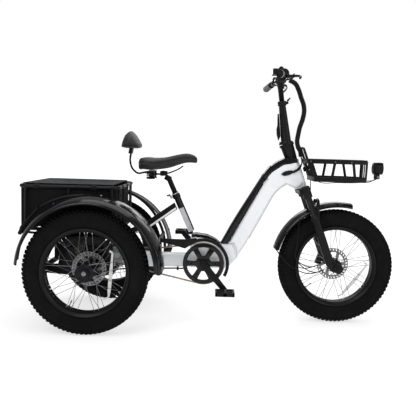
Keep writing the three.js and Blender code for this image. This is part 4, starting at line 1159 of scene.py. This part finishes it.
# ---- fork details ----------------------------------------------------------------------------
def on_steering(x, y, z):
    """A point in the fork's own axes: z along the steering axis from the crown."""
    across = np.array([STEER_AXIS[2], 0, -STEER_AXIS[0]])
    return HEAD + across * x + np.array([0, y, 0]) + STEER_AXIS * z


FORK_LEG_Y = 85
CAP_PROFILE = [(23, 0), (23.5, 3), (20, 6), (17, 8), (14, 10), (4, 10.5)]
SEAL_PROFILE = [(21.5, -14), (24, -12), (24, -3), (22, 1), (19, 6), (16.8, 8)]
fork_bits, seals, rods = [], [], []
for y in (-FORK_LEG_Y, FORK_LEG_Y):
    fork_bits.append(spun(on_steering(10, y, 0), STEER_AXIS, CAP_PROFILE, 28))
    seals.append(spun(on_steering(10, y, -158), STEER_AXIS, SEAL_PROFILE, 28))
    rods.append(spun(on_steering(10, y, -150), STEER_AXIS, [(16.4, 0), (16.4, 100)], 32))
    fork_bits.append(bolt(on_steering(36, y * 0.62, -13), STEER_AXIS[[2, 1, 0]] * [1, 1, -1], 5, 4))
piece("fork_caps", DARK_ALLOY, "steering", *fork_bits)
piece("fork_stanchion_skins", BLACK_GLOSS, "steering", *rods)
piece("fork_wiper_seals", PLASTIC, "fork_slider", *seals)
ends = []
for s in (-1, 1):
    a = FRONT_AXLE + [0, s * 97, 0]
    ends.append(spun(a, (0, s, 0), [(24, -1), (25, 1), (25, 4), (20, 6), (12, 7), (11, 11), (8, 13), (3, 13.5)],
                     32))
piece("front_axle_nuts", BLACK_SATIN, "front_wheel", *ends)
cups = [spun(on_steering(0, 0, z), STEER_AXIS, profile, 36) for z, profile in
        ((-3, [(26, 0), (31, 1), (33.6, 4), (33.6, 6)]), (142, [(33.4, -3), (34.2, 0), (34.2, 3), (31, 4)]))]
piece("headset_cups", DARK_ALLOY, "frame", *cups)

# ---- handlebar, grips and controls -------------------------------------------------------------
BAR = [(866, -335, 1226), (878, -270, 1234), (890, -190, 1240), (901, -110, 1242), (903, -45, 1238),
       (903, 45, 1238), (901, 110, 1242), (890, 190, 1240), (878, 270, 1234), (866, 335, 1226)]
BAR_STEPS = 400
BAR_CURVE = spline(BAR, BAR_STEPS + 1)


def along_bar(start, finish, count):
    """Points on the handlebar between two fractions of its length, from its right end."""
    return BAR_CURVE[np.linspace(start * BAR_STEPS, finish * BAR_STEPS, count).round().astype(int)]


def bar_clamp(start, axis, r, width=18):
    """A band round the handlebar."""
    return spun(start, axis, [(12, 0), (r, 1), (r, width - 1), (12, width)], 24)


def grip(side):
    name = SIDE_NAME[side]
    span = (0.842, 0.992) if side > 0 else (0.158, 0.008)
    path = along_bar(*span, 61)
    ridges = 1 + 0.045 * np.sign(np.sin(np.linspace(0, 26 * pi, 61)))
    ridges[:5], ridges[-5:] = 1.12, 1.14
    palm = np.interp(np.linspace(0, 1, 61), [0, 0.3, 0.65, 1], [1.0, 1.05, 1.12, 1.02])
    body = f"{name}_grip"
    piece(f"{body}_sleeve", GRIP, "handlebar", sweep(path, circle(15.2, 20), grow=ridges * palm),
          stands_for=body)
    out = (path[-1] - path[-6]) / np.linalg.norm(path[-1] - path[-6])
    cap = spun(path[-1] - out * 6, out, [(16, 0), (18, 2), (18, 7), (15, 9.5), (6, 10)], 24)
    inward = (path[0] - path[4]) / np.linalg.norm(path[0] - path[4])
    ring = spun(path[0], inward, [(15, -6), (17.4, -5), (17.4, 2), (15, 3)], 24)
    piece(f"{body}_end_cap", GRIP_END, "handlebar", cap, slot="grip_rubber")
    piece(f"{body}_lock_ring", DARK_ALLOY, "handlebar", ring)


for side in (-1, 1):
    grip(side)


def brake_lever(side):
    name = SIDE_NAME[side]
    px, py, pz = mm(f"{name}_brake_squeeze")
    path = spline([(px - 2, py, pz), (px + 18, py + side * 8, pz), (px + 32, py + side * 24, pz - 1),
                   (px + 44, py + side * 59, pz - 6), (px + 40, py + side * 124, pz - 20),
                   (px + 32, py + side * 146, pz - 26)], 40)
    grow = np.interp(np.linspace(0, 1, 40), [0, 0.12, 0.4, 0.9, 0.96, 1], [1.3, 1.0, 0.85, 0.75, 1.05, 0.8])
    blade = sweep(path, rounded_bar(9, 13, 3.4), up=UP, grow=grow)
    knuckle = spun((px - 4, py, pz - 9), UP, [(6, 0), (9, 1), (9, 17), (6, 18)], 20)
    piece(f"{name}_brake_blade", DARK_ALLOY, f"{name}_brake_lever", blade, knuckle,
          stands_for=f"{name}_brake_lever")
    k = 0.5 + side * 0.245
    at, nxt = along_bar(k, k, 1)[0], along_bar(k + 0.02 * side, k + 0.02 * side, 1)[0]
    axis = (nxt - at) / np.linalg.norm(nxt - at)
    clamp = bar_clamp(at - axis * 9, axis, 17)
    perch_path = spline([at + [6, 0, 0], at + [18, -side * 8, 2], (px + 4, py - side * 12, pz + 3)], 14)
    perch = sweep(perch_path, rounded_bar(14, 16, 4), up=UP, grow=np.linspace(1, 0.9, 14))
    nozzle = rod((px + 2, py - side * 10, pz + 3), (px + 10, py - side * 34, pz + 5), 5, 3.6, 14)
    piece(f"{name}_brake_perch", DARK_ALLOY, "handlebar", clamp, perch, nozzle)


for side in (-1, 1):
    brake_lever(side)
shifter_at, bell_at, switch_at = (along_bar(k, k, 1)[0] for k in (0.29, 0.66, 0.70))
piece("shifter_body", PLASTIC, "handlebar",
      block(shifter_at - [18, 14, 28], shifter_at + [16, 15, -10], 6, ("X", -14)),
      block(shifter_at - [30, 6, 30], shifter_at + [-8, 14, -22], 3),
      bar_clamp(shifter_at - [0, 9, 0], (0.1, 1, 0), 15),
      spun(shifter_at + [12, 2, 12], (0.14, 1, 0.05), [(8, -1), (22, 0), (24, 3), (24, 24), (21, 28), (8, 29)],
           36))
piece("switch_body", PLASTIC, "handlebar", block(switch_at - [16, 13, 8], switch_at + [14, 13, 26], 5),
      bar_clamp(switch_at - [0, 9, 0], (0, 1, -0.25), 15.5))
buttons = [block(switch_at + [-17.5, y - 4, z], switch_at + [-15, y + 4, z + 6], 1.2) for y in (-6, 6)
           for z in (4, 14)]
piece("switch_buttons", GRIP_END, "handlebar", *buttons)
piece("bell_dome", CHROME, "handlebar",
      spun(bell_at + [10, 0, 16], (0.2, 0, 1), [(17, 0), (17.5, 3), (15, 10), (9, 15), (0.5, 17)], 32),
      bar_clamp(bell_at - [0, 7, 0], LEFT, 15, 14))
piece("display_screen", SCREEN, "handlebar", block((864.6, -37, 1265), (866.6, 25, 1287), 0.9))
piece("stem_clamp_plate", DARK_ALLOY, "handlebar", block((922, -24, 1222), (931, 24, 1254), 3),
      *[bolt((930, y, z), AHEAD, 4.4, 4) for y in (-17, 17) for z in (1229, 1247)])

# ---- cables ------------------------------------------------------------------------------------
def cable(name, body, points, r, count=60):
    return piece(name, CABLE, body, tube(points, r, count, 10), slot="black_plastic")


def sleeve(points, count):
    path = spline(points, count)
    ripple = 1 + 0.045 * np.sin(np.arange(count) * 1.9)
    return sweep(path, circle(12, 16), grow=ripple)


upper = [(950, -24, 1236), (980, -22, 1220), (1000, -20, 1186), (1013, -20, 1150)]
middle = [(1013, -20, 1150), (1027, -20, 1115), (1031, -20, 1085), (1026, -20, 1047), (1012, -20, 1000),
          (1005, -20, 960)]
lower = [(1005, -20, 960), (1002, -20, 935), (1008, -18, 905), (1022, -14, 880), (1026, -10, 856)]
for name, points, count, pair in (("harness_upper", upper, 40, ("handlebar", "stem")),
                                  ("harness_middle", middle, 70, ("stem", "steering")),
                                  ("harness_lower", lower, 44, ("steering", "frame"))):
    sheath = piece(f"{name}_sleeve", STRAP, None, sleeve(points, count), stands_for=name, slot="black_plastic")
    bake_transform(sheath)
CONTROL_CABLES = [(-158, 925, 1236, 34), (-112, 908, 1226, 52), (128, 926, 1240, 30), (150, 905, 1262, 46)]
for k, (y, x, z, dx) in enumerate(CONTROL_CABLES):
    mid = (950 + dx * 0.5, y * 0.45, 1262 - 6 * k)
    path = [(x, y, z), (x + dx * 0.6, y * 0.8, z + 8), mid, (962, -24, 1240 - 3 * k), (978, -22, 1222)]
    cable(f"control_cable_{k}", "handlebar", path, 2.4)
cable("display_lead", "handlebar", [(900, 26, 1270), (930, 20, 1262), (952, -4, 1250), (966, -22, 1232)], 1.8,
      40)
for k, (y, dz) in enumerate(((-10, 0), (-16, -10), (-5, -18))):
    path = [(1024, -10, 868), (1030, y - 14, 830 + dz), (1010, -42 - k, 796 + dz * 0.6),
            (975, -45, 776 + dz * 0.3), (958, -42, 770)]
    cable(f"head_cable_{k}", "frame", path, 2.2, 50)
grommet_edge = [(925, 0, 764), (940, 0, 776), (962, 0, 783), (985, 0, 782), (978, 0, 768), (956, 0, 758),
                (936, 0, 757), (925, 0, 764)]
grommet = plate(spline(grommet_edge, 33)[:-1][:, [0, 2]], -45, -38.5, 2)
piece("cable_grommet", PLASTIC, "frame", grommet, bolt((941, -44.5, 768), RIGHT, 2.6, 1.4))
lamp_lead = [(1030, -14, 830), (1062, -20, 800), (1090, -24, 748), (1120, -20, 730), (1220, -8, 727),
             (1330, -4, 730), (1392, -6, 738), (1412, -10, 752)]
cable("lamp_lead", "frame", lamp_lead, 1.9, 90)
brake_hose = [(1030, 14, 850), (1068, 30, 800), (1092, 56, 730), (1096, 72, 640), (1112, 74, 540),
              (1140, 66, 440), (1156, 56, 352), (1154, 50, 330)]
cable("front_brake_hose_upper", "steering", brake_hose[:4], 2.4, 40)
cable("front_brake_hose_lower", "fork_slider", brake_hose[3:], 2.4, 60)
boom_hose = [(470, -31, 292), (440, -31, 262), (400, -24, 259), (300, -22, 255), (200, -20, 250),
             (120, -24, 247), (60, -60, 246), (0, -150, 248), (-30, -215, 262), (-44, -252, 262)]
cable("rear_brake_hose_right", "frame", boom_hose, 2.4, 110)
cable("rear_brake_hose_left", "frame", [(x, -y if x < 60 else y + 14, z) for x, y, z in boom_hose], 2.4, 110)
clips = [sweep([(x, -30, 268), (x, -31, 252), (x, -14, 248), (x, -10, 266)], rounded_bar(2, 9, 0.9),
               up=AHEAD) for x in (410, 330, 250, 160)]
piece("boom_cable_clips", PLASTIC, "frame", *clips)
cable("motor_lead", "frame", [(-30, -46, 372), (20, -60, 396), (60, -40, 382), (110, -30, 356),
                              (200, -29, 344)], 4, 60)

# ---- frame trim --------------------------------------------------------------------------------
seat_side = np.array([SEAT_AXIS[2], 0, -SEAT_AXIS[0]])


def on_seat_tube(t, ahead, y=0.0):
    return SEAT_FOOT + SEAT_AXIS * t + seat_side * ahead + np.array([0, y, 0])


strip = sweep([on_seat_tube(t, 13.2) for t in (22, 120, 205)], rounded_bar(8, 22, 3), up=LEFT)
collar = spun(on_seat_tube(206, 0), SEAT_AXIS, [(16.4, 0), (20.4, 1.5), (20.4, 22), (19, 25), (14.6, 26)], 32)
seal = spun(on_seat_tube(231.6, 0), SEAT_AXIS, [(14.4, 0), (18, 0.5), (17, 5), (14.2, 6)], 32)
piece("seat_tube_trim", BLACK_SATIN, "frame", strip, collar, seal)
stay_panel = plate([(391, 577), (398, 569), (248, 460), (112, 405), (107, 409), (243, 468)], -21.2, 21.2, 2)
piece("upper_stay_panel", WHITE, "frame", stay_panel)
# The yoke plates are white paint, coloured grey as painted shade.
yoke = [plate([(120, 262), (60, 306), (40, 352), (70, 374), (118, 362), (160, 336), (162, 276)], y0, y0 + 5,
              1.2,
              [arc(98, 318, 15, 0, 340, 17)]) for y0 in (-33, 28)]
piece("boom_yoke_plates", SHADED_WHITE_PAINT, "frame", *yoke, bolt((78, -33, 340), RIGHT, 6, 5),
      bolt((132, -33, 300), RIGHT, 6, 5))

band = plate([(830, 750), (865, 799), (905, 826), (948, 848), (1002, 843), (1010, 826), (970, 815), (938, 810),
              (883, 773), (849, 733)], -39.8, 39.8, 3)
ledge = plate([(478, 441), (500, 445), (560, 438), (604, 418), (628, 399), (616, 386), (596, 402), (556, 420),
               (500, 427), (480, 424)], -34.9, 34.9, 4)
sleeve_top = spun(on_seat_tube(150, 0), SEAT_AXIS, [(14, 0), (16.6, 1), (16.6, 56), (14, 57)], 40)
piece("frame_black_trim", BLACK_GLOSS, "frame", band, ledge, sleeve_top)


# ---- camera, floor and light ---------------------------------------------------------------
def studio():
    floor_mesh = bpy.data.meshes.new("floor")
    floor_mesh.from_pydata([(-30, -8, 0), (30, -8, 0), (30, 60, 0), (-30, 60, 0)], [], [(0, 1, 2, 3)])
    floor = bpy.data.objects.new("floor", floor_mesh)
    bpy.context.scene.collection.objects.link(floor)
    s = Shader("pale_floor", rough=0.9, specular=0.1)
    s.colour(s.noise(2, 3), (0.42, 0.42, 0.42), (0.44, 0.44, 0.44))
    s.set("Emission Color", (1, 1, 1, 1))
    # Emission dimmer near the bike and rising with distance: painted shade round the bike, glowing to an even
    # white far off.
    reach = s.node("ShaderNodeVectorMath", operation="LENGTH")
    s.link(s.place, reach.inputs[0])
    shade_near_bike_ramp = s.node("ShaderNodeMapRange")
    shade_near_bike_ramp.inputs["From Min"].default_value, shade_near_bike_ramp.inputs["From Max"].default_value = 0.7, 7.0
    shade_near_bike_ramp.inputs["To Min"].default_value, shade_near_bike_ramp.inputs["To Max"].default_value = 0.66, 1.0
    s.link(reach.outputs["Value"], shade_near_bike_ramp.inputs["Value"])
    s.link(shade_near_bike_ramp.outputs["Result"], s.shader.inputs["Emission Strength"])
    floor_mesh.materials.append(s.material)
    world = bpy.data.worlds.new("studio")
    world.use_nodes = True
    backdrop = world.node_tree.nodes["Background"]
    seen = world.node_tree.nodes.new("ShaderNodeLightPath").outputs["Is Camera Ray"]
    shade = world.node_tree.nodes.new("ShaderNodeMapRange")
    shade.inputs["To Min"].default_value, shade.inputs["To Max"].default_value = 0.36, 1.0
    world.node_tree.links.new(seen, shade.inputs["Value"])
    world.node_tree.links.new(shade.outputs["Result"], backdrop.inputs["Strength"])
    backdrop.inputs["Color"].default_value = (1, 1, 1, 1)
    bpy.context.scene.world = world
    for name, place, size, power in (("key", (-1.6, -2.6, 3.0), 2.2, 60), ("fill", (2.4, -2.2, 2.0), 1.8, 28),
                                     ("top", (0.0, 0.3, 3.4), 3.0, 55), ("rim", (0.6, 3.0, 2.4), 2.2, 35)):
        light = bpy.data.lights.new(name, "AREA")
        light.size, light.energy = size, power
        holder = bpy.data.objects.new(name, light)
        holder.location = place
        holder.rotation_euler = (Vector((0, 0, 0.5)) - Vector(place)).to_track_quat("-Z", "Y").to_euler()
        bpy.context.scene.collection.objects.link(holder)
    bpy.context.scene.view_settings.view_transform = "Standard"


def photo_camera():
    """The camera is 3 m to the right, a little above the saddle, and looks slightly down."""
    yaw, pitch, roll = radians(-0.316), radians(5.671), radians(-1.616)
    ahead = Vector((sin(yaw) * cos(pitch), cos(yaw) * cos(pitch), -sin(pitch)))
    right = Vector((cos(yaw), -sin(yaw), 0))
    down = ahead.cross(right)
    across = right * cos(roll) + down * sin(roll)
    drop = down * cos(roll) - right * sin(roll)
    data = bpy.data.cameras.new("camera")
    data.sensor_width, data.lens = 36, 49.73
    camera = bpy.data.objects.new("camera", data)
    turn = Matrix((across, -drop, -ahead)).transposed().to_4x4()
    camera.matrix_world = Matrix.Translation((-0.011, -2.964, 0.871)) @ turn
    bpy.context.scene.collection.objects.link(camera)
    bpy.context.scene.camera = camera


studio()
photo_camera()
